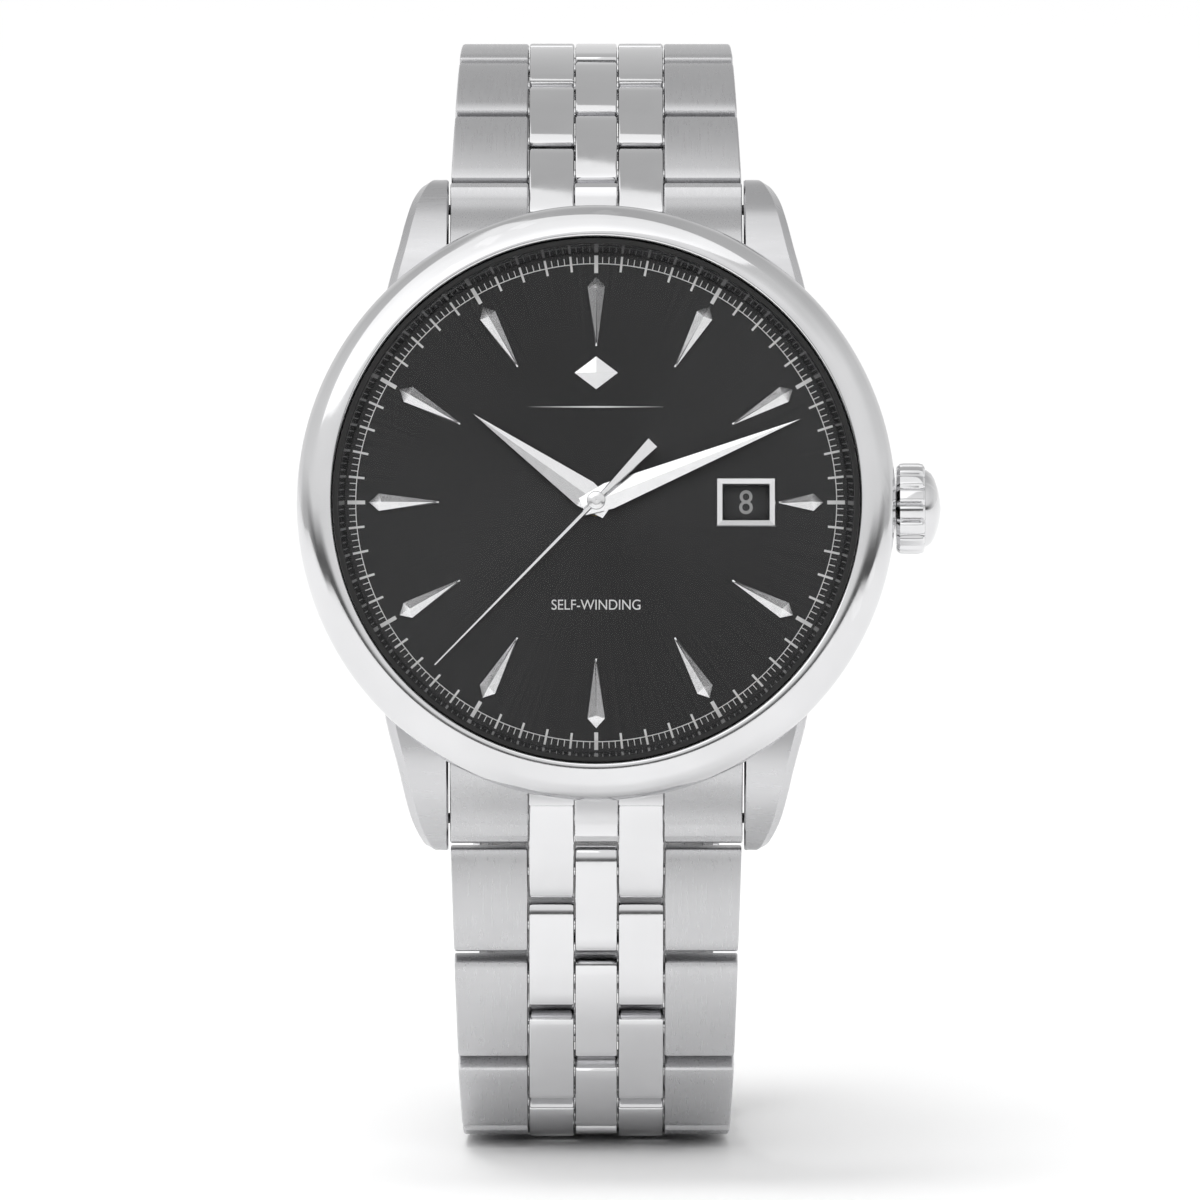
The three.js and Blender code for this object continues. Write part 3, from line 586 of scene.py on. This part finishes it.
def crystal_disc():
    profile = [
        (0.0, CRYSTAL_BOTTOM),
        (CRYSTAL_RADIUS, CRYSTAL_BOTTOM),
        (CRYSTAL_RADIUS, CRYSTAL_TOP - 0.35),
        (CRYSTAL_RADIUS - 0.1, CRYSTAL_TOP - 0.12),
        (CRYSTAL_RADIUS - 0.35, CRYSTAL_TOP),
        (0.0, CRYSTAL_TOP),
    ]
    piece("crystal_disc", lathe(profile), "case", [SAPPHIRE], ("crystal",))
    seal = ring(CRYSTAL_RADIUS + 0.05, BEZEL_OPENING - 0.05, CRYSTAL_BOTTOM, CRYSTAL_BOTTOM + 0.17, ROUND)
    piece("crystal_gasket", seal, "case", [RUBBER])


def inner_ring():
    foot, top, outer = DIAL_FACE + 0.12, 3.72, 17.42
    profile = filleted([(16.75, foot), (outer, foot), (outer, top), (17.2, top), (16.82, 2.6)], 0.06)
    piece("inner_ring", lathe(profile), "case", [RING_BLACK], ("rehaut",))


def crown_knob():
    """The fluted crown. A station is a distance from the hub, a radius and a share of the flutes' depth."""
    flutes, flute_depth, barrel_start, barrel_end = 16, 0.3, 20.0, 21.95
    bore_radius, bore_depth = 1.5, 1.2
    stations = [
        (barrel_start, 2.4, 0.0),
        (barrel_start + 0.08, 2.78, 0.0),
        (barrel_start + 0.3, 3.0, 0.6),
        (barrel_start + 0.55, 3.03, 1.0),
        (barrel_end - 0.4, 3.03, 1.0),
        (barrel_end - 0.12, 2.96, 0.8),
        (barrel_end, 2.8, 0.3),
        (barrel_end + 0.04, 2.6, 0.0),
        (22.15, 2.52, 0.0),
        (22.4, 2.34, 0.0),
        (22.62, 1.98, 0.0),
        (22.8, 1.5, 0.0),
        (22.94, 0.95, 0.0),
        (23.02, 0.45, 0.0),
        (23.05, 0.0, 0.0),
    ]
    depth = {height: amount for height, _, amount in stations}

    def reach(turn, radius, height):
        groove = max(0.0, math.cos(flutes * turn)) ** 2
        return radius - flute_depth * groove * depth.get(height, 0.0)

    bore_end = barrel_start + bore_depth
    inside = [(0.0, bore_end), (bore_radius, bore_end), (bore_radius, barrel_start)]
    profile = [(radius, height) for height, radius, _ in stations]
    bm = lathe([*inside, *profile], 256, reach=reach)
    moved(bm, turn=math.pi / 2, axis="Y")
    moved(bm, offset=(0, 0, STEM_HEIGHT))
    piece("crown_knob", bm, "crown", [POLISHED], ("crown",))


def end_link(node, flip):
    """The solid link between the lugs: a curved roof whose columns carry on the bracelet's pattern."""
    pin_y, pin_z = LUG_PIN
    top, low = pin_z + HALF_THICKNESS, pin_z - HALF_THICKNESS
    end = pin_y + END_REACH
    start, back_foot, short_end, notch_radius, bevel = 15.6, 17.3, 18.7, 2.35, 0.12
    ridge = [(start, 0.5), (back_foot, 0.28), (18.4, -0.25), (19.3, -1.1), (20.3, -2.2), (21.3, -2.98)]
    roof = smooth_line(ridge, 4)
    under = [(end, pin_z)]
    lowest = math.asin(HALF_THICKNESS / END_REACH)
    for i in range(1, ARC_STEPS + 1):
        turn = lowest * i / ARC_STEPS
        under.append((pin_y + END_REACH * math.cos(turn), pin_z - END_REACH * math.sin(turn)))
    back = [(start, low + 3), ridge[0]]
    long_outline = [*back, *roof[1:], (end - 0.32, top - 0.05), (end, top - 0.4), *under, (back_foot, low)]
    notch = []
    for i in range(ARC_STEPS + 1):
        turn = math.radians(105 + 90 * i / ARC_STEPS)
        notch.append((pin_y + notch_radius * math.cos(turn), pin_z + notch_radius * math.sin(turn)))
    short_outline = [*back, *[p for p in roof[1:] if p[0] < short_end], (18.95, -1.05), (19.25, -1.75)]
    short_outline += [*notch, (17.6, low), (back_foot, low)]
    half = LUG_GAP / 2 - 0.12
    edge, centre = INNER_EDGE + SIDE_GAP / 2, CENTRE_HALF - SIDE_GAP / 2
    parts = [
        prism(long_outline, edge, half, bevel, True, 0),
        prism(long_outline, -half, -edge, bevel, True, 0),
        prism(long_outline, -centre, centre, bevel, True, 1),
        prism(short_outline, centre + SIDE_GAP, edge - SIDE_GAP, 0.1, True, 1),
        prism(short_outline, -edge + SIDE_GAP, -centre - SIDE_GAP, 0.1, True, 1),
        pin(17.7, -4.9, 0.6, -half + 0.5, half - 0.5),
    ]
    bm = gathered(*parts)
    if flip:
        moved(bm, turn=math.pi)
    piece(node + "_body", bm, "case", [BRUSHED, POLISHED], (node,))


def case_back_ring():
    profile = filleted(
        [
            (12.2, -4.05),
            (15.4, -4.05),
            (15.4, -3.3),
            (15.9, -3.3),
            (15.9, -4.0),
            (16.9, -4.0),
            (16.9, -4.45),
            (16.2, -5.25),
            (15.2, -5.3),
            (13.1, -5.3),
            (12.2, -4.98),
        ],
        0.12,
    )
    notches = []
    for i in range(6):
        key_slot = prism(circle(0.75, 20, (16.6, 0)), -6.0, -4.95)
        notches.append(moved(key_slot, turn=math.radians(60 * i + 30)))
    bm = carved(lathe(profile), *notches)
    piece("case_back_ring", bm, "case", [BRUSHED_ROUND], ("case_back",))
    disc = lathe(filleted([(0.0, -4.95), (11.9, -4.95), (11.9, -4.15), (0.0, -4.15)], 0.1, 2))
    piece("back_crystal_disc", disc, "case", [SAPPHIRE], ("back_crystal",))
    piece("case_back_gasket", ring(15.5, 15.85, -3.68, -3.55, ROUND), "case", [RUBBER])


# ---- dial ----
PRINT_LOW, PRINT_HIGH = DIAL_FACE - 0.01, DIAL_FACE + 0.015
DAYS = 31
DAY_SHOWN = 8


def tick(turn, start, end, width):
    """A printed bar that points outwards, at a clock reading in degrees."""
    bar = [(-width / 2, start), (width / 2, start), (width / 2, end), (-width / 2, end)]
    return moved(prism(bar, PRINT_LOW, PRINT_HIGH), turn=-math.radians(turn))


def dial_plate():
    """The dial, with a hole for the hands and one for the date."""
    half_x, half_y = DATE_HALF
    left, right = DATE_CENTRE - half_x, DATE_CENTRE + half_x
    window = [(left, -half_y), (right, -half_y), (right, half_y), (left, half_y)]
    disc = ring(0.92, 17.2, DIAL_BACK, DIAL_FACE, FINE_ROUND)
    bm = carved(disc, prism(window, 1.0, 3.0))
    piece("dial_plate", bm, "case", [DIAL_BLACK], ("dial",))


def minute_track():
    """Sixty marks, wider on each fifth, with three thin ones after each, and a thin circle through them."""
    parts = []
    for second in range(60):
        start, width = (15.42, 0.26) if second % 5 == 0 else (15.55, 0.15)
        parts.append(tick(6 * second, start, 16.6, width))
        for quarter in range(1, 4):
            parts.append(tick(6 * second + 1.5 * quarter, 16.05, 16.5, 0.055))
    parts.append(ring(16.02, 16.08, PRINT_LOW, PRINT_HIGH, FINE_ROUND))
    piece("minute_track", gathered(*parts), "case", [PRINT])


def dagger(outline, low, edge, top, tail):
    """A five-sided blade, from low to edge, with two facets that meet on a ridge from top to tail."""
    bm = bmesh.new()
    base = [bm.verts.new((x, y, low)) for x, y in outline]
    rim = [bm.verts.new((x, y, edge)) for x, y in outline]
    ridge, end = bm.verts.new(top), bm.verts.new(tail)
    bm.faces.new(base)
    for i in range(5):
        j = (i + 1) % 5
        bm.faces.new((base[i], base[j], rim[j], rim[i]))
    bm.faces.new((rim[0], rim[1], ridge))
    bm.faces.new((rim[4], rim[0], ridge))
    bm.faces.new((rim[1], rim[2], end, ridge))
    bm.faces.new((rim[3], rim[4], ridge, end))
    bm.faces.new((rim[2], rim[3], end))
    bmesh.ops.recalc_face_normals(bm, faces=bm.faces)
    return bm


def hour_marks():
    """Twelve applied daggers. The one at 3 is short, to leave room for the date."""
    outer, widest, half, tip = 15.15, 14.5, 0.58, 0.06
    edge, ridge = DIAL_FACE + 0.16, DIAL_FACE + 0.5
    for hour in range(12):
        inner = 12.2 if hour == 3 else 10.5
        outline = [(0.0, outer), (-half, widest), (-tip, inner), (tip, inner), (half, widest)]
        bm = dagger(outline, DIAL_FACE, edge, (0, widest - 0.15, ridge), (0, inner + 0.25, edge + 0.12))
        moved(bm, turn=-math.radians(30 * hour))
        piece(f"hour_mark_{hour or 12}", bm, "case", [MARK_STEEL], sharp=FACETED)


def emblem():
    """A plain applied lozenge, with a printed rule below it and generic words lower down."""
    outline = [(0.0, 9.8), (-1.45, 8.7), (0.0, 7.6), (1.45, 8.7)]
    bm = bmesh.new()
    low = [bm.verts.new((x, y, DIAL_FACE)) for x, y in outline]
    rim = [bm.verts.new((x, y, DIAL_FACE + 0.12)) for x, y in outline]
    top = bm.verts.new((0, 8.7, DIAL_FACE + 0.34))
    bm.faces.new(low)
    for i in range(4):
        j = (i + 1) % 4
        bm.faces.new((low[i], low[j], rim[j], rim[i]))
        bm.faces.new((rim[i], rim[j], top))
    bmesh.ops.recalc_face_normals(bm, faces=bm.faces)
    piece("emblem", bm, "case", [MARK_STEEL], sharp=FACETED)
    rule = prism([(-4.6, 6.42), (0, 6.36), (4.6, 6.42), (0, 6.48)], PRINT_LOW, PRINT_HIGH)
    words = moved(figures("SELF-WINDING", 0.98, DIAL_FACE - 0.005), offset=(0, -6.9, 0))
    piece("dial_print", gathered(rule, words), "case", [PRINT])


def frame_bar(half_x, half_y, centre, profile):
    """A rectangular frame from a profile of [distance outside the opening, height] points."""
    bm = bmesh.new()
    corners = []
    for sign_x, sign_y in ((1, 1), (-1, 1), (-1, -1), (1, -1)):
        loop = []
        for out, height in profile:
            loop.append(bm.verts.new((centre + sign_x * (half_x + out), sign_y * (half_y + out), height)))
        corners.append(loop)
    count = len(profile)
    for i, loop in enumerate(corners):
        other = corners[(i + 1) % 4]
        for row in range(count):
            after = (row + 1) % count
            bm.faces.new((loop[row], other[row], other[after], loop[after]))
    bmesh.ops.recalc_face_normals(bm, faces=bm.faces)
    return bm


def date_window():
    """The frame, and under it the disc with the 31 numerals."""
    low, bar = DIAL_FACE, DATE_BAR
    section = [(0.0, 0.0), (0.0, 0.2), (0.08, 0.3), (0.42, 0.28), (bar, 0.18), (bar, 0.0)]
    bm = frame_bar(*DATE_HALF, DATE_CENTRE, [(out, low + height) for out, height in section])
    piece("date_window_frame", bm, "case", [MARK_STEEL], ("date_frame",), sharp=FACETED)
    disc = ring(*DATE_DISC_RADII, *DATE_DISC_HEIGHTS, ROUND)
    piece("date_disc_plate", disc, "date_disc", [DISC_BLACK], ("date_disc",))
    parts = []
    for day in range(1, DAYS + 1):
        parts.append(moved(figures(str(day), 2.3, DATE_DISC_HEIGHTS[1]), offset=(DATE_CENTRE, 0, 0)))
        moved(parts[-1], turn=math.radians(360 * (day - DAY_SHOWN) / DAYS))
    piece("date_numerals", gathered(*parts), "date_disc", [DATE_PRINT])


def figures(text, size, height):
    """Flat figures or letters about the origin, just above a height. Two figures are drawn narrower."""
    narrow, wide, half_height, lift = 0.68, 0.9, 0.01, 0.005
    curve = bpy.data.curves.new("figures", "FONT")
    curve.body = text
    curve.size = size
    curve.align_x = "CENTER"
    curve.align_y = "CENTER"
    curve.extrude = half_height
    made = bpy.data.objects.new("figures", curve)
    bpy.context.scene.collection.objects.link(made)
    bpy.context.view_layer.update()
    mesh = bpy.data.meshes.new_from_object(made.evaluated_get(bpy.context.evaluated_depsgraph_get()))
    bpy.data.objects.remove(made)
    bm = bmesh.new()
    bm.from_mesh(mesh)
    bpy.data.meshes.remove(mesh)
    bmesh.ops.scale(bm, verts=bm.verts, vec=(narrow if len(text) == 2 else wide, 1, 1))
    return moved(slotted(bm, 0), offset=(0, 0, height + lift))


# ---- hands ----
def dauphine(length, tail, half, low, high):
    """A tapered hand whose two facets meet on a ridge."""
    widest, narrow = 0.9, half * 0.68
    outline = [(0.0, length), (-half, widest), (-narrow, -tail), (narrow, -tail), (half, widest)]
    return dagger(outline, low, low + 0.05, (0, widest, high), (0, -tail, high - 0.03))


def spoked_wheel(radius, teeth, low, high, hub):
    """A train wheel in the second material: toothed rim, spokes and hub."""
    spokes, slot = 4, 1
    depth, bore, reach, half = radius * 0.07, radius * 0.78, radius * 0.82, radius * 0.06
    blank = prism(gear(radius, teeth, depth), low, high, slot=slot)
    rim = carved(blank, prism(circle(bore), low - 1, high + 1))
    arms = []
    for i in range(spokes):
        bar = prism([(0, -half), (reach, -half), (reach, half), (0, half)], low, high, slot=slot)
        arms.append(moved(bar, turn=2 * math.pi * i / spokes))
    middle = prism(circle(hub, 32), low, high, slot=slot)
    return gathered(rim, middle, *arms)


def needle():
    """The sweep hand's bar, from its flared tail to its tip."""
    low = 3.55
    sections = []
    for y, half_low, half_high, top in (
        (-5.4, 0.45, 0.4, 3.68),
        (-0.7, 0.18, 0.12, 3.7),
        (1.0, 0.16, 0.1, 3.7),
        (15.4, 0.06, 0.04, 3.63),
    ):
        sections.append([(-half_low, y, low), (half_low, y, low), (half_high, y, top), (-half_high, y, top)])
    return loft(sections)


def hands():
    """Each hand with its tube or arbor, and the wheel that turns with it behind the dial."""
    hour = gathered(
        dauphine(10.1, 1.0, 0.95, 2.76, 3.02),
        ring(0.65, 0.85, 1.2, 2.98),
        spoked_wheel(2.5, 30, 1.25, 1.45, hub=1.1),
    )
    minute = gathered(
        dauphine(14.7, 1.0, 0.9, 3.16, 3.42),
        ring(0.36, 0.52, -0.3, 3.4),
        spoked_wheel(4.5, 48, -0.3, -0.1, hub=1.0),
    )
    dome = filleted([(0.0, 3.52), (0.62, 3.52), (0.62, 3.74), (0.3, 3.84), (0.0, 3.84)], 0.06)
    boss = lathe(dome, SMALL_ROUND)
    arbor = prism(circle(0.18, 24), -1.1, 3.6)
    second = gathered(needle(), boss, arbor, spoked_wheel(3.2, 42, -0.85, -0.65, hub=0.7))
    for name, bm in (("hour", hour), ("minute", minute), ("second", second)):
        moved(bm, turn=-math.radians(HAND_TURNS[name]))
        node = name + "_hand"
        piece(node + "_body", bm, node, [MARK_STEEL, BRASS], (node,), sharp=FACETED)


# ---- bracelet ----
def plate_profile(crowning):
    """A link plate from the side: a top slightly crowned along its length, two chamfers at each end, and an
    underside that is rounded about each pin."""
    crown_steps = 12
    end = PIN_OFFSET + END_REACH
    lowest = math.asin(HALF_THICKNESS / END_REACH)
    under = []
    for i in range(ARC_STEPS + 1):
        turn = lowest * (ARC_STEPS - i) / ARC_STEPS
        under.append((PIN_OFFSET + END_REACH * math.cos(turn), -END_REACH * math.sin(turn)))
    shoulder = end - 0.42
    crown = []
    for i in range(crown_steps + 1):
        y = shoulder * (1 - 2 * i / crown_steps)
        crown.append((y, HALF_THICKNESS - crowning * (y / shoulder) ** 2))
    edge = HALF_THICKNESS - crowning
    right = [*under, (end, edge - 0.38), (end - 0.1, edge - 0.16)]
    return right + crown + [(-y, z) for y, z in reversed(right)]


def half_width(half_pitches):
    """Half the bracelet's width at a distance from the lugs in half pitches."""
    share = min(1, max(0, half_pitches / TAPER_LINKS))
    return (WIDTH_AT_LUGS + (WIDTH_AT_CLASP - WIDTH_AT_LUGS) * share) / 2


def outer_link(place_in_half):
    """Two side plates that follow the bracelet's taper, a centre plate, and the pins through them."""
    profile = plate_profile(OUTER_CROWNING)
    width = half_width(place_in_half)
    slope = (half_width(place_in_half + 0.5) - half_width(place_in_half - 0.5)) / HALF_PITCH
    side = prism(profile, INNER_EDGE + SIDE_GAP, width, PLATE_BEVEL, True, 0)
    for vert in side.verts:
        if vert.co.x > INNER_EDGE + 1:
            vert.co.x += slope * vert.co.y
    other = mirrored(side.copy(), 0)
    centre_half = CENTRE_HALF - SIDE_GAP
    centre = prism(plate_profile(INNER_CROWNING), -centre_half, centre_half, PLATE_BEVEL, True, 1)
    pins = []
    for y in (-PIN_OFFSET, PIN_OFFSET):
        reach = width + slope * y + 0.01
        pins.append(pin(y, 0, PIN_RADIUS, -reach, reach, 1))
    return gathered(side, other, centre, *pins)


def inner_link():
    """Two bored plates joined by a low bar under the centre column."""
    inner, outer = CENTRE_HALF + SIDE_GAP, INNER_EDGE - SIDE_GAP
    profile = plate_profile(INNER_CROWNING)
    columns = ((inner, outer), (-outer, -inner))
    plates = [prism(profile, left, right, PLATE_BEVEL, True) for left, right in columns]
    bores = [pin(y, 0, BORE_RADIUS, -outer - 1, outer + 1, bevel=0) for y in (-PIN_OFFSET, PIN_OFFSET)]
    half, top, reach = 0.25, -1.0, inner + 0.3
    bar = filleted([(-half, -HALF_THICKNESS), (half, -HALF_THICKNESS), (half, top), (-half, top)], 0.08, 2)
    return gathered(carved(gathered(*plates), *bores), prism(bar, -reach, reach, across=True))


def bracelet_half(half, side, pins):
    """The links of one half, from the lug to the clasp."""
    inner_mesh = inner_link()
    for i in range(len(pins) - 1):
        along = pins[i + 1] - pins[i]
        place = placed((pins[i] + pins[i + 1]) / 2, X_AXIS * side, along.normalized())
        kind = "outer" if i % 2 else "inner"
        node = f"{half}_{kind}_link_{i // 2 + 1}"
        if kind == "outer":
            piece(node + "_body", outer_link(i), node, [BRUSHED, POLISHED], (node,), place)
            continue
        bm = inner_mesh.copy()
        if half == "lower" and i == len(pins) - 2:
            plug, reach = INNER_EDGE - SIDE_GAP, INNER_EDGE + 2.6
            filling = pin(PIN_OFFSET, 0, BORE_RADIUS, -plug, plug)
            bm = gathered(bm, filling, pin(PIN_OFFSET, 0, PIN_RADIUS, -reach, reach))
        piece(node + "_body", bm, node, [POLISHED], (node,), place)
    inner_mesh.free()


def bracelet():
    """Both halves. It gives back the last pin of each, which the clasp lies between."""
    upper = [pivot(joint) for joint in chain_joints("upper", 15)] + [pivot("clasp_end_hinge")]
    lower = [pivot(joint) for joint in chain_joints("lower", 13)]
    turn = math.radians(LAST_LINK_DIRECTION)
    lower.append(lower[-1] + Vector((0, math.sin(turn), -math.cos(turn))) * HALF_PITCH * MM)
    bracelet_half("upper", 1, upper)
    bracelet_half("lower", -1, lower)
    return lower[-1], upper[-1]


def chain_joints(half, count):
    """The names of a half's hinges in order from the lugs."""
    names = [f"{half}_{'outer' if i % 2 else 'inner'}_link_{i // 2 + 1}_hinge" for i in range(count)]
    return [half + "_half_fold", *names[1:]]


def clasp(lower_pin, upper_pin):
    place = placed(lower_pin, -X_AXIS, (upper_pin - lower_pin).normalized())
    softened("clasp_cover", 0.16, BRUSHED, place)
    softened("clasp_inner_blade", 0.1, POLISHED, place)
    softened("clasp_outer_blade", 0.1, BRUSHED, place)
    for side in ("right", "left"):
        softened("clasp_button_" + side, 0.12, POLISHED, place)


# ---- movement ----
BRIDGE_BACK = -2.3
SCREW_RADIUS = 0.55
SCREW_HEIGHT = 0.2
BALANCE_CENTRE = (-5.2, -6.8)
COCK_FOOT = (-10.2, -3.4)
COCK_THICKNESS = 0.24
JEWELS = [(4.1, 4.3), (-7.6, 3.2)]
SCREWS = [(10.4, 1.4), (-10.9, 0.2), (4.2, 10.4), (-4.6, 10.2), (8.9, 6.2), (-1.6, 5.2), (7.2, 0.6)]


def screw(centre, top):
    """A slotted head that stands proud of its plate, towards the case back."""
    head = prism(circle(SCREW_RADIUS, 32, centre), top - SCREW_HEIGHT, top + 0.05, 0.04)
    radius, half = SCREW_RADIUS, 0.07
    across = [(-radius, -half), (radius, -half), (radius, half), (-radius, half)]
    cutter = moved(prism(across, top - 1, top - 0.08), turn=math.radians(40 * centre[0]))
    return carved(head, moved(cutter, offset=(*centre, 0)))


def jewel(centre, top, name):
    """A ruby bearing with a polished cup, in a gilt setting."""
    setting = [(0.62, 0.04), (0.95, 0.04), (0.95, -0.06), (0.88, -0.1), (0.62, -0.04)]
    stone = [(0.08, 0.02), (0.6, 0.02), (0.6, -0.04), (0.45, -0.08), (0.08, 0.0)]
    turned = [lathe([(r, top + z) for r, z in p], SMALL_ROUND, i) for i, p in enumerate((setting, stone))]
    bm = gathered(*turned)
    piece(name, moved(bm, offset=(*centre, 0)), "case", [BRASS, RUBY])


def balance_cock():
    """The bracket that holds the balance's back bearing. Its foot stands on the main plate."""
    low, high, bevel = BRIDGE_BACK - COCK_THICKNESS, BRIDGE_BACK, 0.06
    near, far = Vector(COCK_FOOT), Vector(BALANCE_CENTRE)
    direction = (near - far).normalized()
    side = Vector((-direction.y, direction.x))
    corners = [near + side * 1.0, far + side * 0.75, far - side * 0.75, near - side * 1.0]
    beam = prism([tuple(corner) for corner in corners], low, high, bevel)
    discs = ((0.95, BALANCE_CENTRE), (1.1, COCK_FOOT))
    ends = [prism(circle(radius, 40, at), low, high, bevel) for radius, at in discs]
    foot = prism(circle(0.9, 32, COCK_FOOT), high - 0.05, 0.12)
    bm = carved(beam, *ends, foot, operation="UNION")
    piece("balance_cock", bm, "case", [PLATE_NICKEL])
    jewel(BALANCE_CENTRE, low, "balance_jewel")
    piece("cock_screw", screw(COCK_FOOT, low), "case", [POLISHED])


def hairspring():
    """A flat spiral about the balance staff, of a band that is twice half wide."""
    turns, steps, inner, outer, half = 9, 28, 0.35, 1.9, 0.03
    low, high = -2.08, -1.95
    sections = []
    for i in range(turns * steps + 1):
        turn = 2 * math.pi * i / steps
        middle = inner + (outer - inner) * i / (turns * steps)
        ends = [(middle - half, low), (middle + half, low), (middle + half, high), (middle - half, high)]
        sections.append([(r * math.cos(turn), r * math.sin(turn), z) for r, z in ends])
    bm = moved(loft(sections), offset=(*BALANCE_CENTRE, 0))
    piece("hairspring", bm, "balance_wheel", [MARK_STEEL])


def movement():
    """The CAD movement with softened edges, and the small parts that only show here."""
    softened("main_plate", 0.05, PLATE_NICKEL)
    softened("train_bridge", 0.08, STRIPED)
    softened("rotor", 0.1, STRIPED)
    for node in ("barrel", "third_wheel", "balance_wheel"):
        softened(node, 0.04, BRASS)
    spring_bars = ("spring_bar_upper", "spring_bar_lower")
    for node in ("escape_wheel", "pallet_fork", "crown_tube", "winding_stem", *spring_bars):
        softened(node, 0.03, POLISHED)
    heads = gathered(*[screw(centre, BRIDGE_BACK) for centre in SCREWS])
    piece("bridge_screws", heads, "case", [POLISHED])
    for i, centre in enumerate(JEWELS):
        jewel(centre, BRIDGE_BACK, f"train_jewel_{i + 1}")
    bearing = [(0.62, -3.2), (0.88, -3.2), (0.88, -3.38), (0.8, -3.44), (0.62, -3.44)]
    piece("rotor_bearing", lathe(bearing, 64), "case", [POLISHED])
    balance_cock()
    hairspring()


# ---- studio and camera ----
VIEW_ELEVATION = math.radians(6.0)
VIEW_DISTANCE = 1.5
FRAME_WIDTH = 80.21
AIM_RIGHT = 0.254
AIM_DOWN = 6.27
SENSOR = 36.0
FAR_CLIP = 100
FLOOR_LEVEL = -0.22
FLOOR_HALF = 4.0
KEY_PLACE, KEY_ENERGY, KEY_SIZE = (-0.25, -0.3, 0.8), 2.7, 1.2
SUN_PLACE, SUN_ENERGY, SUN_ANGLE = (-0.15, 0.2, 1.0), 1.15, math.radians(30)
# Grey levels of the room at heights from -1, straight down, to 1, straight up.
FRONT_LEVELS = [
    (-1, 0.6),
    (-0.1, 0.4),
    (0.0, 0.08),
    (0.09, 0.14),
    (0.2, 0.85),
    (0.6, 0.95),
    (0.85, 0.7),
    (1, 0.5),
]
BACK_LEVELS = [(-1, 0.6), (-0.1, 0.7), (0.0, 0.85), (0.3, 0.75), (0.7, 0.55), (1, 0.5)]


def camera():
    ahead = Vector((0, math.cos(VIEW_ELEVATION), -math.sin(VIEW_ELEVATION)))
    up = Vector((0, math.sin(VIEW_ELEVATION), math.cos(VIEW_ELEVATION)))
    aim = HUB + X_AXIS * AIM_RIGHT * MM - up * AIM_DOWN * MM
    data = bpy.data.cameras.new("camera")
    data.sensor_width = SENSOR
    data.lens = SENSOR * VIEW_DISTANCE / (FRAME_WIDTH * MM)
    data.clip_end = FAR_CLIP
    made = bpy.data.objects.new("camera", data)
    bpy.context.scene.collection.objects.link(made)
    made.location = aim - ahead * VIEW_DISTANCE
    made.rotation_euler = ahead.to_track_quat("-Z", "Y").to_euler()
    bpy.context.scene.camera = made


def floor():
    mesh = bpy.data.meshes.new("floor")
    size, level = FLOOR_HALF, FLOOR_LEVEL * MM
    corners = [(-size, -size, level), (size, -size, level), (size, size, level), (-size, size, level)]
    mesh.from_pydata(corners, [], [(0, 1, 2, 3)])
    made = bpy.data.objects.new("floor", mesh)
    bpy.context.scene.collection.objects.link(made)
    material, _, shader = new_material("pale_floor")
    shader.inputs["Base Color"].default_value = (0.93, 0.93, 0.93, 1)
    shader.inputs["Roughness"].default_value = 0.9
    mesh.materials.append(material)
    return made


def lamp(name, kind, position, aim, energy, size):
    """A soft light. The size is in metres for an area and an angle for a sun."""
    data = bpy.data.lights.new(name, kind)
    data.energy = energy
    if kind == "SUN":
        data.angle = size
    else:
        data.size = size
    made = bpy.data.objects.new(name, data)
    bpy.context.scene.collection.objects.link(made)
    made.location = position
    made.rotation_euler = (Vector(aim) - Vector(position)).to_track_quat("-Z", "Y").to_euler()
    return made


def gradient(tree, fac, stops):
    """A ramp of grey levels over heights from -1 to 1."""
    ramp = add(tree, "ValToRGB", {0: fac})
    elements = ramp.color_ramp.elements
    while len(elements) < len(stops):
        elements.new(0.5)
    for element, (height, level) in zip(elements, stops):
        element.position = (height + 1) / 2
        element.color = (level, level, level, 1)
    return ramp.outputs[0]


def centred_range(tree, value, limit):
    """A value from minus to plus the limit, mapped to 0 to 1."""
    return add(tree, "MapRange", {"Value": value, "From Min": -limit, "From Max": limit}).outputs[0]


def studio(ground):
    """A pale room that is dark at eye level behind the camera, a soft key light and a light for the floor."""
    world = bpy.data.worlds.new("studio")
    world.use_nodes = True
    bpy.context.scene.world = world
    tree = world.node_tree
    background = tree.nodes["Background"]
    direction = add(tree, "SeparateXYZ", {0: add(tree, "TexCoord").outputs["Generated"]})
    height = centred_range(tree, direction.outputs["Z"], 1.0)
    front = gradient(tree, height, FRONT_LEVELS)
    back = gradient(tree, height, BACK_LEVELS)
    room = add(tree, "Mix", data_type="RGBA")
    tree.links.new(centred_range(tree, direction.outputs["Y"], 0.5), room.inputs["Factor"])
    tree.links.new(front, room.inputs["A"])
    tree.links.new(back, room.inputs["B"])
    tree.links.new(room.outputs["Result"], background.inputs[0])
    lamp("key", "AREA", KEY_PLACE, HUB, KEY_ENERGY, KEY_SIZE)
    sun = lamp("floor_light", "SUN", SUN_PLACE, (0, 0, 0), SUN_ENERGY, SUN_ANGLE)
    only_floor = bpy.data.collections.new("floor_only")
    only_floor.objects.link(ground)
    sun.light_linking.receiver_collection = only_floor
    bpy.context.scene.view_settings.view_transform = "Standard"


case_middle()
bezel_ring()
crystal_disc()
inner_ring()
crown_knob()
end_link("end_link_upper", False)
end_link("end_link_lower", True)
case_back_ring()
dial_plate()
minute_track()
hour_marks()
emblem()
date_window()
hands()
clasp(*bracelet())
movement()
camera()
studio(floor())
